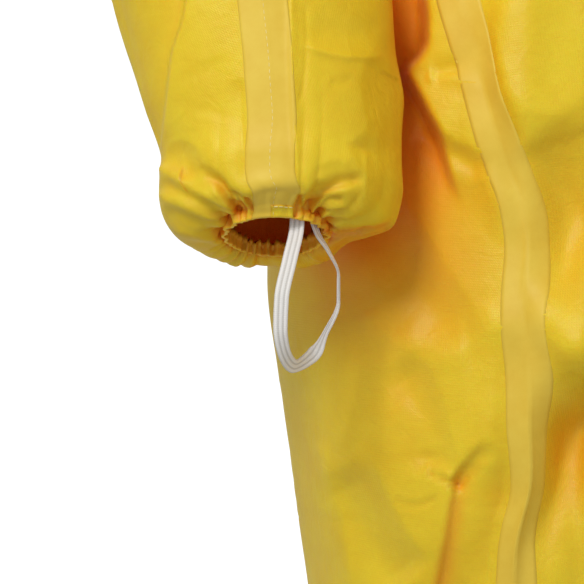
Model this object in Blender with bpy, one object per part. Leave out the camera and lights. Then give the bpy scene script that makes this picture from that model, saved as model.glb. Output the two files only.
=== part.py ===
"""Protective coverall with a hood, in its worn form: thin cloth walls cut as fronts, backs,
sleeves and hood halves, with welded seam tape, a front flap over the zip and thumb loops.

Metres, +Z up.  The wearer faces -Y, so the right side of the garment is at -X.
The origin lies between the shoulders at the base of the neck, where the garment is carried.
Right pieces are worked out first, and left pieces are their mirror images.
"""
import math

import bpy
import numpy as np

MM = 0.001

WALL = 1.5 * MM               # cloth wall
SEAM = 0.3 * MM               # gap between pieces at a seam, and under a tape
TAPE_THICK = 1.0 * MM
TAPE_REACH = 11.0 * MM        # tape on each side of its seam
FLAP_REACH = 30.0 * MM        # front flap on each side of the zip
FLAP_THICK = 1.4 * MM
FLAP_FOOT = -0.655            # height of the flap's lower end
ZIP_THICK = 1.2 * MM

FRONT_STRIPS = 7              # strips between the columns of points across each piece
BACK_STRIPS = 8
ARMHOLE_STRIPS = 10           # along each of the armhole's front and back curves
ANKLE_GATHERS = 10            # on each panel
ANKLE_GATHERS_TOP = -1.360    # height at which they fade out
CUFF_GATHERS = 28
ANKLE_GATHER_DEPTH = 2.4 * MM
CUFF_GATHER_DEPTH = 1.1 * MM
WAIST_GATHERS = 4             # on each back
WAIST_GATHER_DEPTH = 5.0 * MM
WAIST_GATHER_REACH = 35.0 * MM
FACE_GATHER_DEPTH = 1.6 * MM

UNDERARM = -0.290             # heights
SHOULDER_TIP = -0.060
NECKLINE = -0.005
WAIST = -0.420
CROTCH = -0.745
BACK_TAPE_FOOT = -0.740       # where the tape down the back ends
ANKLE_HEM = -1.400
HOOD_TOP = 0.310
CHIN = 0.055
FOREHEAD = 0.245
CREST_MIDDLE = 0.003          # Y of the middle of the hood's top seam, and how round it is
CREST_RADIUS = 0.110

ARMHOLE_FRONT = 33.0          # degrees that the armhole is cut into the front and the back
ARMHOLE_BACK = 35.0
ARC_SAMPLES = 240


def table(names, *rows):
    """Named columns of numbers from rows."""
    return {name: np.array(column, float) for name, column in zip(names.split(), zip(*rows))}


# Level sections of one side, from the ankle up.  outer and inner are distances from the middle
# plane, with inner below zero where the two sides are one, front and back are Y, and the lifts
# raise the section's front and back above its side.
BODY = table(
    "height  outer   inner   front   back   front_lift back_lift power",
    (-1.400, 0.1850, 0.0740, -0.060, 0.080, 0.000, 0.000, 2.0),
    (-1.391, 0.1850, 0.0740, -0.060, 0.080, 0.000, 0.000, 2.0),
    (-1.378, 0.2040, 0.0560, -0.080, 0.102, 0.000, 0.000, 2.0),
    (-1.350, 0.2120, 0.0490, -0.092, 0.114, 0.000, 0.000, 2.0),
    (-1.250, 0.2140, 0.0460, -0.092, 0.112, 0.000, 0.000, 2.0),
    (-1.130, 0.2130, 0.0440, -0.094, 0.110, 0.000, 0.000, 2.0),
    (-1.020, 0.2110, 0.0340, -0.106, 0.102, 0.000, 0.000, 2.0),
    (-0.900, 0.2160, 0.0200, -0.112, 0.116, 0.000, 0.000, 2.0),
    (-0.800, 0.2210, 0.0080, -0.120, 0.130, 0.000, 0.000, 2.0),
    (-0.745, 0.2280, 0.0000, -0.126, 0.138, 0.000, 0.000, 2.0),
    (-0.715, 0.2320, -0.0200, -0.128, 0.143, 0.000, 0.000, 2.0),
    (-0.680, 0.2370, -0.0520, -0.130, 0.147, 0.000, 0.000, 2.0),
    (-0.630, 0.2430, -0.1200, -0.130, 0.149, 0.000, 0.000, 2.0),
    (-0.580, 0.2420, -0.2000, -0.129, 0.146, 0.000, 0.000, 2.0),
    (-0.520, 0.2250, -0.2250, -0.127, 0.136, 0.000, 0.000, 2.0),
    (-0.470, 0.2010, -0.2010, -0.122, 0.122, 0.000, 0.000, 2.1),
    (-0.420, 0.1850, -0.1850, -0.116, 0.110, 0.000, 0.000, 2.2),
    (-0.370, 0.1930, -0.1930, -0.134, 0.136, 0.000, 0.000, 2.3),
    (-0.290, 0.1970, -0.1970, -0.142, 0.142, 0.000, 0.000, 2.3),
    (-0.220, 0.2010, -0.2010, -0.142, 0.138, -0.008, -0.002, 2.3),
    (-0.150, 0.2035, -0.2035, -0.134, 0.128, -0.024, -0.006, 2.3),
    (-0.100, 0.2045, -0.2045, -0.123, 0.117, -0.042, -0.008, 2.3),
    (-0.060, 0.2030, -0.2030, -0.108, 0.100, -0.056, -0.006, 2.3),
    (-0.035, 0.1540, -0.1540, -0.092, 0.086, -0.062, 0.004, 2.2),
    (-0.018, 0.1120, -0.1120, -0.082, 0.076, -0.064, 0.012, 2.1),
    (-0.005, 0.0800, -0.0800, -0.075, 0.066, -0.062, 0.020, 2.0),
)

# Level sections of the hood, from the neckline up.
HOOD = table(
    "height  outer   inner   front   back   front_lift back_lift power",
    (-0.005, 0.0800, -0.0800, -0.075, 0.066, -0.062, 0.020, 2.0),
    (0.035, 0.0840, -0.0840, -0.092, 0.078, -0.052, 0.016, 2.0),
    (0.080, 0.1000, -0.1000, -0.116, 0.102, -0.026, 0.006, 2.0),
    (0.140, 0.1080, -0.1080, -0.124, 0.120, -0.004, 0.000, 2.0),
    (0.190, 0.1090, -0.1090, -0.124, 0.124, 0.004, 0.000, 2.0),
    (0.235, 0.1000, -0.1000, -0.116, 0.116, 0.004, 0.000, 2.0),
    (0.270, 0.0780, -0.0780, -0.100, 0.102, 0.000, -0.004, 2.0),
    (0.296, 0.0440, -0.0440, -0.084, 0.088, -0.006, -0.008, 2.0),
    (0.310, 0.0000, 0.0000, -0.072, 0.078, -0.012, -0.014, 2.0),
)

# Angle of the hood's face edge, from the middle of the front.
FACE = table(
    "height  angle",
    (-0.005, 0.0), (0.055, 0.0), (0.070, 24.0), (0.100, 43.0), (0.140, 53.0),
    (0.180, 54.0), (0.215, 44.0), (0.237, 24.0), (0.245, 0.0), (0.310, 0.0),
)

# Angle of the side seam, which is drawn to the front over the hip.
SIDE = table(
    "height  angle",
    (-1.400, 86.0), (-1.280, 74.0), (-1.150, 57.0), (-1.020, 37.0), (-0.900, 20.0),
    (-0.800, 9.0), (-0.720, 8.5), (-0.680, 13.0), (-0.640, 19.5), (-0.600, 26.0),
    (-0.560, 33.5), (-0.515, 42.5), (-0.490, 48.0), (-0.420, 61.0), (-0.350, 78.0),
    (-0.290, 90.0),
)

# Rings of the right sleeve from the armhole to the hem.  Each has its outermost and innermost
# points, distances to its front and rear, and the angle by which its front is raised.  sag lets
# the sides and rear hang along the sleeve, turn brings the seam from the underarm to the front.
SLEEVE = table(
    "outer_x outer_z inner_x inner_z middle  front  rear   lean  sag    turn  armhole",
    (0.2030, -0.0600, 0.1970, -0.2900, 0.000, 0.094, 0.092, 0.0, 0.0000, 0.0, 1.00),
    (0.2340, -0.0700, 0.2030, -0.2980, -0.002, 0.096, 0.094, 0.0, 0.0000, 2.0, 0.70),
    (0.2680, -0.1000, 0.2065, -0.3070, -0.006, 0.092, 0.092, 0.0, 0.0000, 8.0, 0.35),
    (0.2970, -0.1500, 0.2080, -0.3180, -0.010, 0.086, 0.088, 0.0, 0.0000, 18.0, 0.10),
    (0.3180, -0.2100, 0.2080, -0.3310, -0.016, 0.080, 0.084, 2.0, 0.0000, 32.0, 0.00),
    (0.3340, -0.2800, 0.2080, -0.3510, -0.024, 0.076, 0.080, 5.0, 0.0000, 50.0, 0.00),
    (0.3440, -0.3460, 0.2070, -0.3840, -0.036, 0.072, 0.078, 11.0, 0.0000, 68.0, 0.00),
    (0.3420, -0.4060, 0.2030, -0.4260, -0.056, 0.067, 0.072, 18.0, 0.0000, 80.0, 0.00),
    (0.3280, -0.4560, 0.1945, -0.4640, -0.077, 0.062, 0.066, 21.0, 0.0000, 86.0, 0.00),
    (0.3090, -0.4980, 0.1850, -0.4980, -0.093, 0.058, 0.062, 21.0, 0.0000, 88.0, 0.00),
    (0.3025, -0.5210, 0.1840, -0.5210, -0.101, 0.055, 0.060, 21.0, 0.0000, 89.0, 0.00),
    (0.2960, -0.5450, 0.1815, -0.5450, -0.110, 0.051, 0.057, 21.0, 0.0000, 91.0, 0.00),
    (0.2880, -0.5670, 0.1815, -0.5670, -0.118, 0.047, 0.054, 21.0, 0.0010, 94.0, 0.00),
    (0.2885, -0.5780, 0.1810, -0.5780, -0.123, 0.045, 0.053, 21.0, 0.0025, 95.0, 0.00),
    (0.2875, -0.5840, 0.1825, -0.5840, -0.125, 0.043, 0.052, 21.0, 0.0050, 95.0, 0.00),
    (0.2830, -0.5880, 0.1860, -0.5880, -0.1265, 0.040, 0.049, 21.0, 0.0095, 95.0, 0.00),
    (0.2730, -0.5900, 0.1950, -0.5900, -0.1275, 0.036, 0.043, 21.0, 0.0130, 94.0, 0.00),
    (0.2650, -0.5910, 0.2060, -0.5910, -0.1280, 0.032, 0.036, 21.0, 0.0110, 93.0, 0.00),
    (0.2600, -0.5955, 0.2145, -0.5955, -0.1285, 0.029, 0.031, 21.0, 0.0000, 92.0, 0.00),
    (0.2600, -0.6010, 0.2145, -0.6010, -0.1300, 0.029, 0.031, 21.0, 0.0000, 92.0, 0.00),
)
PUFF_RING = 14                # the first ring that is gathered

# The largest folds of the right side: a soft trough (depth below zero) or ridge along a line from
# one point to another, with its half width.
FOLDS = table(
    "x1      y1      z1      x2      y2      z2      width  depth",
    (-0.290, -0.140, -0.440, -0.285, -0.150, -0.565, 0.012, -0.006),   # outside of the forearm
    (-0.265, -0.150, -0.400, -0.262, -0.155, -0.540, 0.011, 0.005),    # ridge beside it
    (-0.283, -0.160, -0.558, -0.255, -0.170, -0.588, 0.009, -0.004),   # across the puff
    (-0.200, -0.150, -0.540, -0.197, -0.160, -0.590, 0.008, -0.004),
    (-0.215, -0.090, -0.365, -0.250, -0.115, -0.350, 0.012, -0.007),   # bend of the elbow
    (-0.205, -0.060, -0.410, -0.260, -0.120, -0.395, 0.012, -0.006),
    (-0.330, 0.020, -0.330, -0.300, 0.060, -0.300, 0.014, 0.006),
    (-0.230, -0.090, -0.300, -0.290, -0.100, -0.240, 0.016, -0.006),   # below the shoulder
    (-0.215, 0.090, -0.280, -0.280, 0.080, -0.230, 0.016, -0.006),
    (-0.175, -0.085, -0.490, -0.145, -0.110, -0.570, 0.012, 0.007),    # edge of the upper layer
    (-0.188, -0.070, -0.500, -0.165, -0.095, -0.560, 0.012, -0.008),   # hollow beside it
    (-0.175, -0.090, -0.590, -0.140, -0.115, -0.680, 0.016, -0.008),   # long fold of the hip
    (-0.150, -0.110, -0.700, -0.155, -0.115, -0.790, 0.014, -0.007),   # towards the knee
    (-0.060, -0.140, -0.640, -0.150, -0.110, -0.760, 0.018, -0.008),   # from the crotch
    (-0.050, 0.150, -0.660, -0.160, 0.130, -0.780, 0.020, -0.009),
    (-0.080, -0.110, -0.980, -0.190, -0.080, -1.010, 0.020, -0.008),   # knee
    (-0.070, 0.105, -1.010, -0.190, 0.080, -1.050, 0.020, -0.010),
    (-0.100, -0.100, -1.300, -0.200, -0.050, -1.260, 0.020, 0.006),    # above the ankle
    (-0.090, -0.145, -0.350, -0.170, -0.090, -0.385, 0.020, -0.008),   # over the waist
    (-0.060, 0.140, -0.350, -0.170, 0.090, -0.380, 0.020, -0.009),
    (-0.080, -0.130, -0.200, -0.140, -0.100, -0.300, 0.022, -0.007),   # chest and back
    (-0.070, 0.135, -0.180, -0.130, 0.110, -0.300, 0.022, -0.007),
)

# Right thumb loop: middle line of the flat elastic, and the direction of its width.
LOOP = table(
    "x        y        z        wx     wy     wz",
    (-0.2275, -0.1485, -0.5860, 1.00, 0.00, 0.00),
    (-0.2280, -0.1505, -0.5960, 1.00, 0.00, -0.10),
    (-0.2310, -0.1590, -0.6090, 0.98, 0.05, -0.20),
    (-0.2345, -0.1660, -0.6250, 0.97, 0.10, -0.15),
    (-0.2350, -0.1670, -0.6380, 0.95, 0.25, 0.05),
    (-0.2330, -0.1620, -0.6500, 0.80, 0.50, 0.30),
    (-0.2285, -0.1510, -0.6560, 0.50, 0.55, 0.60),
    (-0.2215, -0.1390, -0.6530, 0.20, 0.60, 0.75),
    (-0.2150, -0.1310, -0.6430, -0.05, 0.90, 0.45),
    (-0.2095, -0.1290, -0.6300, -0.10, 0.98, 0.20),
    (-0.2095, -0.1320, -0.6180, -0.05, 1.00, 0.10),
    (-0.2140, -0.1365, -0.6070, 0.10, 1.00, 0.05),
    (-0.2190, -0.1400, -0.5985, 0.35, 0.95, 0.00),
    (-0.2217, -0.1420, -0.5895, 0.50, 0.87, 0.00),
)
LOOP_WIDTH = 6.5 * MM
LOOP_THICK = 1.1 * MM
LOOP_STEPS = 3                # points between two rows of the loop's table


def hexcolour(code):
    """sRGB hex to a linear RGBA tuple."""
    parts = [int(code[i:i + 2], 16) / 255 for i in (1, 3, 5)]
    linear = [c / 12.92 if c <= 0.04045 else ((c + 0.055) / 1.055) ** 2.4 for c in parts]
    return (*linear, 1.0)


def finish(name, colour, roughness):
    """A Principled material."""
    material = bpy.data.materials.new(name)
    material.use_nodes = True
    shader = material.node_tree.nodes["Principled BSDF"]
    shader.inputs["Base Color"].default_value = hexcolour(colour)
    shader.inputs["Roughness"].default_value = roughness
    material.diffuse_color = hexcolour(colour)
    return material


def unit(vectors):
    """Vectors scaled to length one."""
    return vectors / np.maximum(np.linalg.norm(vectors, axis=-1, keepdims=True), 1e-12)


def glide(keys, values, at):
    """Smooth curve through a table's column: cubic pieces with slopes that never overshoot."""
    step = np.diff(keys)
    rise = np.diff(values) / step
    before, after = rise[:-1], rise[1:]
    same_way = before * after > 0
    mean = 2 * before * after / np.where(same_way, before + after, 1.0)
    slope = np.concatenate(([rise[0]], np.where(same_way, mean, 0.0), [rise[-1]]))
    at = np.clip(at, keys[0], keys[-1])
    i = np.clip(np.searchsorted(keys, at, side="right") - 1, 0, len(step) - 1)
    t = (at - keys[i]) / step[i]
    return (values[i] * (2 * t**3 - 3 * t**2 + 1) + values[i + 1] * (3 * t**2 - 2 * t**3)
            + step[i] * (slope[i] * (t**3 - 2 * t**2 + t) + slope[i + 1] * (t**3 - t**2)))


def section(levels, angle, height):
    """Point of a level section at an angle in degrees: 0 front, 90 outer side, 180 back."""
    row = {name: glide(levels["height"], column, height) for name, column in levels.items()}
    centre = (row["outer"] + row["inner"]) / 2
    half_width = row["outer"] - centre
    half_depth = (row["back"] - row["front"]) / 2
    sine, cosine = np.sin(np.radians(angle)), np.cos(np.radians(angle))
    bend = 2 / row["power"]
    x = centre + half_width * np.sign(sine) * np.abs(sine) ** bend
    y = row["front"] + half_depth - half_depth * np.sign(cosine) * np.abs(cosine) ** bend
    lift = np.where(cosine > 0, row["front_lift"], row["back_lift"]) * cosine**2
    return np.stack((-x, y, height + lift), axis=-1)


def section_normal(levels, angle, height):
    """Outward direction of the sections' surface, from small steps along and up it."""
    turn, climb = 0.6, 0.0025
    low = np.maximum(height - climb, levels["height"][0])
    high = np.minimum(height + climb, levels["height"][-1])
    along = section(levels, angle + turn, height) - section(levels, angle - turn, height)
    upward = section(levels, angle, high) - section(levels, angle, low)
    return unit(np.cross(upward, along))


def first_angle(height):
    """Angle where a section leaves the middle plane, down to -90 at and below the crotch."""
    outer = glide(BODY["height"], BODY["outer"], height)
    centre = (outer + glide(BODY["height"], BODY["inner"], height)) / 2
    power = glide(BODY["height"], BODY["power"], height)
    share = np.clip(centre / (outer - centre), 0.0, 1.0)
    return -90.0 if height <= CROTCH else -math.degrees(math.asin(share ** (power / 2)))


def armhole(way):
    """Angle and height of the armhole: way 0 at the underarm, 90 front, 180 tip, 270 back."""
    sine, cosine = np.sin(np.radians(way)), np.cos(np.radians(way))
    reach = np.where(sine > 0, ARMHOLE_FRONT, ARMHOLE_BACK)
    return 90.0 - reach * sine, UNDERARM + (SHOULDER_TIP - UNDERARM) * (1 - cosine) / 2


def sleeve(way, ring):
    """Point of the right sleeve: way runs round as in armhole(), ring is a row of SLEEVE."""
    rings = np.arange(len(SLEEVE["turn"]), dtype=float)
    row = {name: glide(rings, column, ring) for name, column in SLEEVE.items()}
    sine, cosine = np.sin(np.radians(way)), np.cos(np.radians(way))
    lean = np.radians(row["lean"])
    zero = np.zeros_like(lean)
    outer = np.stack((-row["outer_x"], row["middle"], row["outer_z"]), axis=-1)
    inner = np.stack((-row["inner_x"], row["middle"], row["inner_z"]), axis=-1)
    forward = np.stack((zero, -np.cos(lean), np.sin(lean)), axis=-1)
    down = np.stack((zero, -np.sin(lean), -np.cos(lean)), axis=-1)
    depth = np.where(sine > 0, row["front"], row["rear"]) * sine
    hang = row["sag"] * (1 - np.maximum(sine, 0) ** 1.5)
    points = ((outer + inner) / 2 + (inner - outer) / 2 * cosine[..., None]
              + forward * depth[..., None] + down * hang[..., None])
    edge = section(BODY, *armhole(way))
    first_row = {name: column[0] for name, column in SLEEVE.items()}
    tip = np.array((-first_row["outer_x"], 0.0, first_row["outer_z"]))
    under = np.array((-first_row["inner_x"], 0.0, first_row["inner_z"]))
    first_depth = np.where(sine > 0, first_row["front"], first_row["rear"]) * sine
    first = ((tip + under) / 2 + (under - tip) / 2 * cosine[..., None]
             + np.array((0.0, -1.0, 0.0)) * first_depth[..., None])
    return points + (edge - first) * row["armhole"][..., None]


def sleeve_normal(way, ring):
    """Outward direction of the sleeve, shared with the body along the armhole."""
    turn, step = 1.5, 0.25
    last = len(SLEEVE["turn"]) - 1.0
    along = sleeve(way + turn, ring) - sleeve(way - turn, ring)
    onward = sleeve(way, np.minimum(ring + step, last)) - sleeve(way, np.maximum(ring - step, 0.0))
    return unit(np.cross(along, onward))


def armhole_normal(way):
    """Outward direction along the armhole seam, half way between body and sleeve."""
    angle, height = armhole(way)
    body = section_normal(BODY, angle, height)
    return unit(body + sleeve_normal(way, np.zeros_like(way)))


def relief(points):
    """Height of the folds over the plain surface at each point."""
    total = np.zeros(points.shape[:-1])
    for x1, y1, z1, x2, y2, z2, width, depth in zip(*FOLDS.values()):
        start, run = np.array((x1, y1, z1)), np.array((x2 - x1, y2 - y1, z2 - z1))
        t = np.clip((points - start) @ run / (run @ run), 0.0, 1.0)
        distance = np.linalg.norm(points - start - t[..., None] * run, axis=-1)
        total += depth * np.exp(-(distance / width) ** 2)
    return total


def spread(length, strips, first_gap, last_gap):
    """Distances of a row's columns: its two ends, the taped edges, and even steps between."""
    middle = np.linspace(first_gap, length - last_gap, strips - 1)
    return np.concatenate(([0.0], middle, [length]))


def spaced(place, start, end, strips, first_gap, last_gap):
    """Parameters from start to end whose points lie at the distances of spread()."""
    fine = np.linspace(start, end, ARC_SAMPLES)
    steps = np.linalg.norm(np.diff(place(fine), axis=0), axis=-1)
    travelled = np.concatenate(([0.0], np.cumsum(steps)))
    return np.interp(spread(travelled[-1], strips, first_gap, last_gap), travelled, fine)


def zigzag(count, depth):
    """Alternate in and out over a row, plain at the seams and under the tapes."""
    wave = np.where(np.arange(count) % 2 == 0, -depth, depth)
    wave[:2] = 0.0
    wave[-2:] = 0.0
    return wave


def middle_gap(height):
    """Width of the first strip: the flap's reach, and the tape's below the crotch."""
    share = np.clip((height - CROTCH) / (FLAP_FOOT - CROTCH), 0.0, 1.0)
    return TAPE_REACH + (FLAP_REACH - TAPE_REACH) * share


def body_heights():
    """Heights of the body's rows of points, from the ankle hem to the neckline."""
    ways = np.linspace(0.0, 180.0, ARMHOLE_STRIPS + 1)
    legs = [ANKLE_HEM, -1.391, -1.383, -1.368, -1.330, -1.250, -1.160, -1.080, -1.020, -0.960,
            -0.880, -0.810, CROTCH]
    trunk = [-0.735, -0.718, -0.695, -0.660, -0.620, -0.575, -0.530, -0.490, -0.455, WAIST,
             -0.385, -0.340]
    shoulder = [-0.047, -0.032, -0.018, NECKLINE]
    return legs + trunk + list(armhole(ways)[1]) + shoulder


def side_angle(height):
    """Angle where front and back meet."""
    return 90.0 if height >= UNDERARM else float(glide(SIDE["height"], SIDE["angle"], height))


def panel(back):
    """Rows of one panel on the right: points, outward directions and places across."""
    rows = []
    ways = np.linspace(0.0, 180.0, ARMHOLE_STRIPS + 1)
    for height in body_heights():
        gathered = height < ANKLE_GATHERS_TOP
        strips = 2 * ANKLE_GATHERS + 2 if gathered else BACK_STRIPS if back else FRONT_STRIPS
        first = first_angle(height)
        start, end = (side_angle(height), 180.0 - first) if back else (first, side_angle(height))
        way = None
        if UNDERARM <= height <= SHOULDER_TIP + 1e-9:
            way = ways[np.argmin(np.abs(armhole(ways)[1] - height))]
            cut = float(armhole(360.0 - way if back else way)[0])
            start, end = (cut, end) if back else (start, cut)
        gaps = (TAPE_REACH, TAPE_REACH) if back else (middle_gap(height), TAPE_REACH)
        angles = spaced(lambda a: section(BODY, a, np.full_like(a, height)), start, end, strips,
                        *gaps)
        levels = np.full_like(angles, height)
        points, normals = section(BODY, angles, levels), section_normal(BODY, angles, levels)
        middle = -1 if back else 0
        if height >= CROTCH:
            normals[middle, 0] = 0.0
            points[middle, 0] = 0.0
        if way is not None:
            normals[0 if back else -1] = armhole_normal(np.array(360.0 - way if back else way))
        if height == NECKLINE:
            normals = unit(normals + section_normal(HOOD, angles, levels))
            normals[middle, 0] = 0.0
        normals = unit(normals)
        out = relief(points)
        if gathered:
            out = out + zigzag(len(angles), ANKLE_GATHER_DEPTH)
        if back:
            wave = np.cos(2 * math.pi * WAIST_GATHERS * np.linspace(0.0, 1.0, len(angles)))
            fade = np.exp(-((height - WAIST) / WAIST_GATHER_REACH) ** 2)
            out = out + WAIST_GATHER_DEPTH * wave * fade
        out[0] = out[-1] = 0.0
        rows.append({"points": points + normals * out[:, None], "normals": normals,
                     "angles": angles, "height": height})
    return rows


def sleeve_rows():
    """Rows of the right sleeve from the armhole to the hem."""
    rows = []
    for ring in range(len(SLEEVE["turn"])):
        turn = SLEEVE["turn"][ring]
        if ring == 0:
            ways = np.linspace(0.0, 360.0, 2 * ARMHOLE_STRIPS + 1)
        else:
            strips = 2 * CUFF_GATHERS + 2 if ring >= PUFF_RING else 2 * ARMHOLE_STRIPS
            ways = spaced(lambda w: sleeve(w, np.full_like(w, ring)), turn, turn + 360.0, strips,
                          TAPE_REACH, TAPE_REACH)
        rings = np.full_like(ways, ring)
        points = sleeve(ways, rings)
        normals = armhole_normal(ways) if ring == 0 else sleeve_normal(ways, rings)
        out = relief(points) if ring > 0 else np.zeros(len(ways))
        out[0] = out[-1] = (out[0] + out[-1]) / 2
        if ring >= PUFF_RING:
            out = out + zigzag(len(ways), CUFF_GATHER_DEPTH)
        rows.append({"points": points + normals * out[:, None], "normals": normals})
    return rows


def hood_rows(front, back):
    """Rows of the hood's right half from the neckline to the top seam."""
    across = np.concatenate((front[-1]["angles"], back[-1]["angles"][1:]))
    heights = [NECKLINE, 0.025, CHIN, 0.070, 0.093, 0.117, 0.142, 0.167, 0.191, 0.213, 0.231,
               FOREHEAD, 0.268, 0.292, HOOD_TOP]
    rows = []
    for number, height in enumerate(heights):
        face = float(glide(FACE["height"], FACE["angle"], height))
        angles = face + (180.0 - face) * across / 180.0
        levels = np.full_like(angles, height)
        points, normals = section(HOOD, angles, levels), section_normal(HOOD, angles, levels)
        if height == NECKLINE:
            normals = unit(normals + section_normal(BODY, angles, levels))
        on_middle = np.abs(points[:, 0]) < 1e-6
        normals[on_middle, 0] = 0.0
        if height == HOOD_TOP:
            reach = points[:, 1] - CREST_MIDDLE
            normals = np.stack((0 * reach, reach, np.full_like(reach, CREST_RADIUS)), axis=-1)
        normals = unit(normals)
        if CHIN < height < FOREHEAD:
            fold = FACE_GATHER_DEPTH * (1 if number % 2 else -1)
            points = points + normals * (fold * np.exp(-np.arange(len(angles)) / 1.2))[:, None]
        points[on_middle, 0] = 0.0
        rows.append({"points": points, "normals": normals})
    return rows


def border(rows):
    """Index pairs round a grid of rows: first row, last column, last row, first column."""
    last = len(rows) - 1
    loop = [(0, j) for j in range(len(rows[0]))]
    loop += [(i, len(rows[i]) - 1) for i in range(1, last + 1)]
    loop += [(last, j) for j in range(len(rows[last]) - 2, -1, -1)]
    return loop + [(i, 0) for i in range(last - 1, 0, -1)]


def inset(points, normals, distance):
    """Draw a grid's border in along the surface by a distance."""
    loop = border(points)
    edge = np.array([points[i][j] for i, j in loop])
    facing = np.array([normals[i][j] for i, j in loop])
    tangent = np.roll(edge, -1, axis=0) - np.roll(edge, 1, axis=0)
    inward = unit(np.cross(facing, tangent))
    centre_row = points[len(points) // 2]
    middle = centre_row[0]
    at = loop.index((len(points) // 2, 0))
    if np.dot(inward[at], centre_row[1] - middle) < 0:
        inward = -inward
    moved = [row.copy() for row in points]
    for (i, j), step in zip(loop, inward * distance):
        moved[i][j] = moved[i][j] + step
    return moved


def strip_faces(count_a, count_b, first_a, first_b, flips):
    """Triangles between two rows of points; rows of different lengths are zipped evenly."""
    faces = []
    if count_a == count_b:
        for j in range(count_a - 1):
            a, b, c, d = first_a + j, first_a + j + 1, first_b + j + 1, first_b + j
            faces += [(a, b, d), (b, c, d)] if flips and flips[j] else [(a, b, c), (a, c, d)]
        return faces
    i = j = 0
    while i < count_a - 1 or j < count_b - 1:
        next_a = (i + 1) / (count_a - 1) if i < count_a - 1 else 2.0
        next_b = (j + 1) / (count_b - 1) if j < count_b - 1 else 2.0
        if next_a <= next_b:
            faces.append((first_a + i, first_a + i + 1, first_b + j))
            i += 1
        else:
            faces.append((first_a + i, first_b + j + 1, first_b + j))
            j += 1
    return faces


def wall(name, outside, inside, material, flips=None):
    """A closed wall between an outside and an inside grid of rows."""
    starts = np.concatenate(([0], np.cumsum([len(row) for row in outside])))
    total = int(starts[-1])
    skin = []
    for i in range(len(outside) - 1):
        skin += strip_faces(len(outside[i]), len(outside[i + 1]), int(starts[i]),
                            int(starts[i + 1]), flips)
    faces = skin + [(a + total, c + total, b + total) for a, b, c in skin]
    loop = [int(starts[i]) + j for i, j in border(outside)]
    for a, b in zip(loop, loop[1:] + loop[:1]):
        faces += [(a, a + total, b + total), (a, b + total, b)]
    points = np.concatenate(list(outside) + list(inside))
    corners = points[np.array(faces)]
    volume = np.einsum("ij,ij->i", corners[:, 0], np.cross(corners[:, 1], corners[:, 2])).sum()
    if volume < 0:
        faces = [(a, c, b) for a, b, c in faces]
    mesh = bpy.data.meshes.new(name)
    mesh.from_pydata(points.tolist(), [], faces)
    mesh.materials.append(material)
    mesh.validate()
    made = bpy.data.objects.new(name, mesh)
    bpy.context.scene.collection.objects.link(made)
    return made


def mirrored(grid):
    """The same rows on the other side of the middle plane."""
    return [row * np.array((-1.0, 1.0, 1.0)) for row in grid]


def cloth(name, rows, material):
    """Right and left cloth pieces from rows on the right: drawn in at the seams, WALL thick."""
    normals = [row["normals"] for row in rows]
    outside = inset([row["points"] for row in rows], normals, SEAM / 2)
    inside = [row - normal * WALL for row, normal in zip(outside, normals)]
    wall(f"{name}_right", outside, inside, material)
    wall(f"{name}_left", mirrored(outside), mirrored(inside), material)


def columns(rows, *picks):
    """Chosen columns of a grid, as points and outward directions."""
    picks = list(picks)
    return [row["points"][picks] for row in rows], [row["normals"][picks] for row in rows]


def overlay(names, pair, low, thick, material, flips=None):
    """A strip that lies over cloth: the cloth's own points, moved out by low and low + thick."""
    points, normals = pair
    under = [p + n * low for p, n in zip(points, normals)]
    over = [p + n * (low + thick) for p, n in zip(points, normals)]
    wall(names[0], over, under, material, flips)
    if len(names) > 1:
        wall(names[1], mirrored(over), mirrored(under), material, flips)


def joined(first, second):
    """Two sets of columns side by side that share the seam's column."""
    return ([np.vstack((a, b[1:])) for a, b in zip(first[0], second[0])],
            [np.vstack((a, b[1:])) for a, b in zip(first[1], second[1])])


def across_middle(pair):
    """Columns on the right up to the middle plane, carried on over it as their mirror image."""
    points, normals = pair
    flip = np.array((-1.0, 1.0, 1.0))
    return ([np.vstack((p, p[-2::-1] * flip)) for p in points],
            [np.vstack((n, n[-2::-1] * flip)) for n in normals])


def thumb_loops(material):
    """Flat elastic carried along its middle line, flat side to the hand."""
    keys = np.arange(len(LOOP["x"]), dtype=float)
    at = np.linspace(0.0, keys[-1], LOOP_STEPS * (len(keys) - 1) + 1)
    path = np.stack([glide(keys, LOOP[name], at) for name in ("x", "y", "z")], axis=-1)
    width = unit(np.stack([glide(keys, LOOP[name], at) for name in ("wx", "wy", "wz")], axis=-1))
    along = unit(np.gradient(path, axis=0))
    width = unit(width - along * np.sum(width * along, axis=-1, keepdims=True))
    flat = np.cross(along, width)
    across = np.array((-0.5, 0.0, 0.5))[None, :, None] * LOOP_WIDTH * width[:, None, :]
    over = path[:, None, :] + across + flat[:, None, :] * LOOP_THICK / 2
    under = path[:, None, :] + across - flat[:, None, :] * LOOP_THICK / 2
    wall("thumb_loop_right", list(over), list(under), material)
    wall("thumb_loop_left", mirrored(list(over)), mirrored(list(under)), material)


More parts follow.
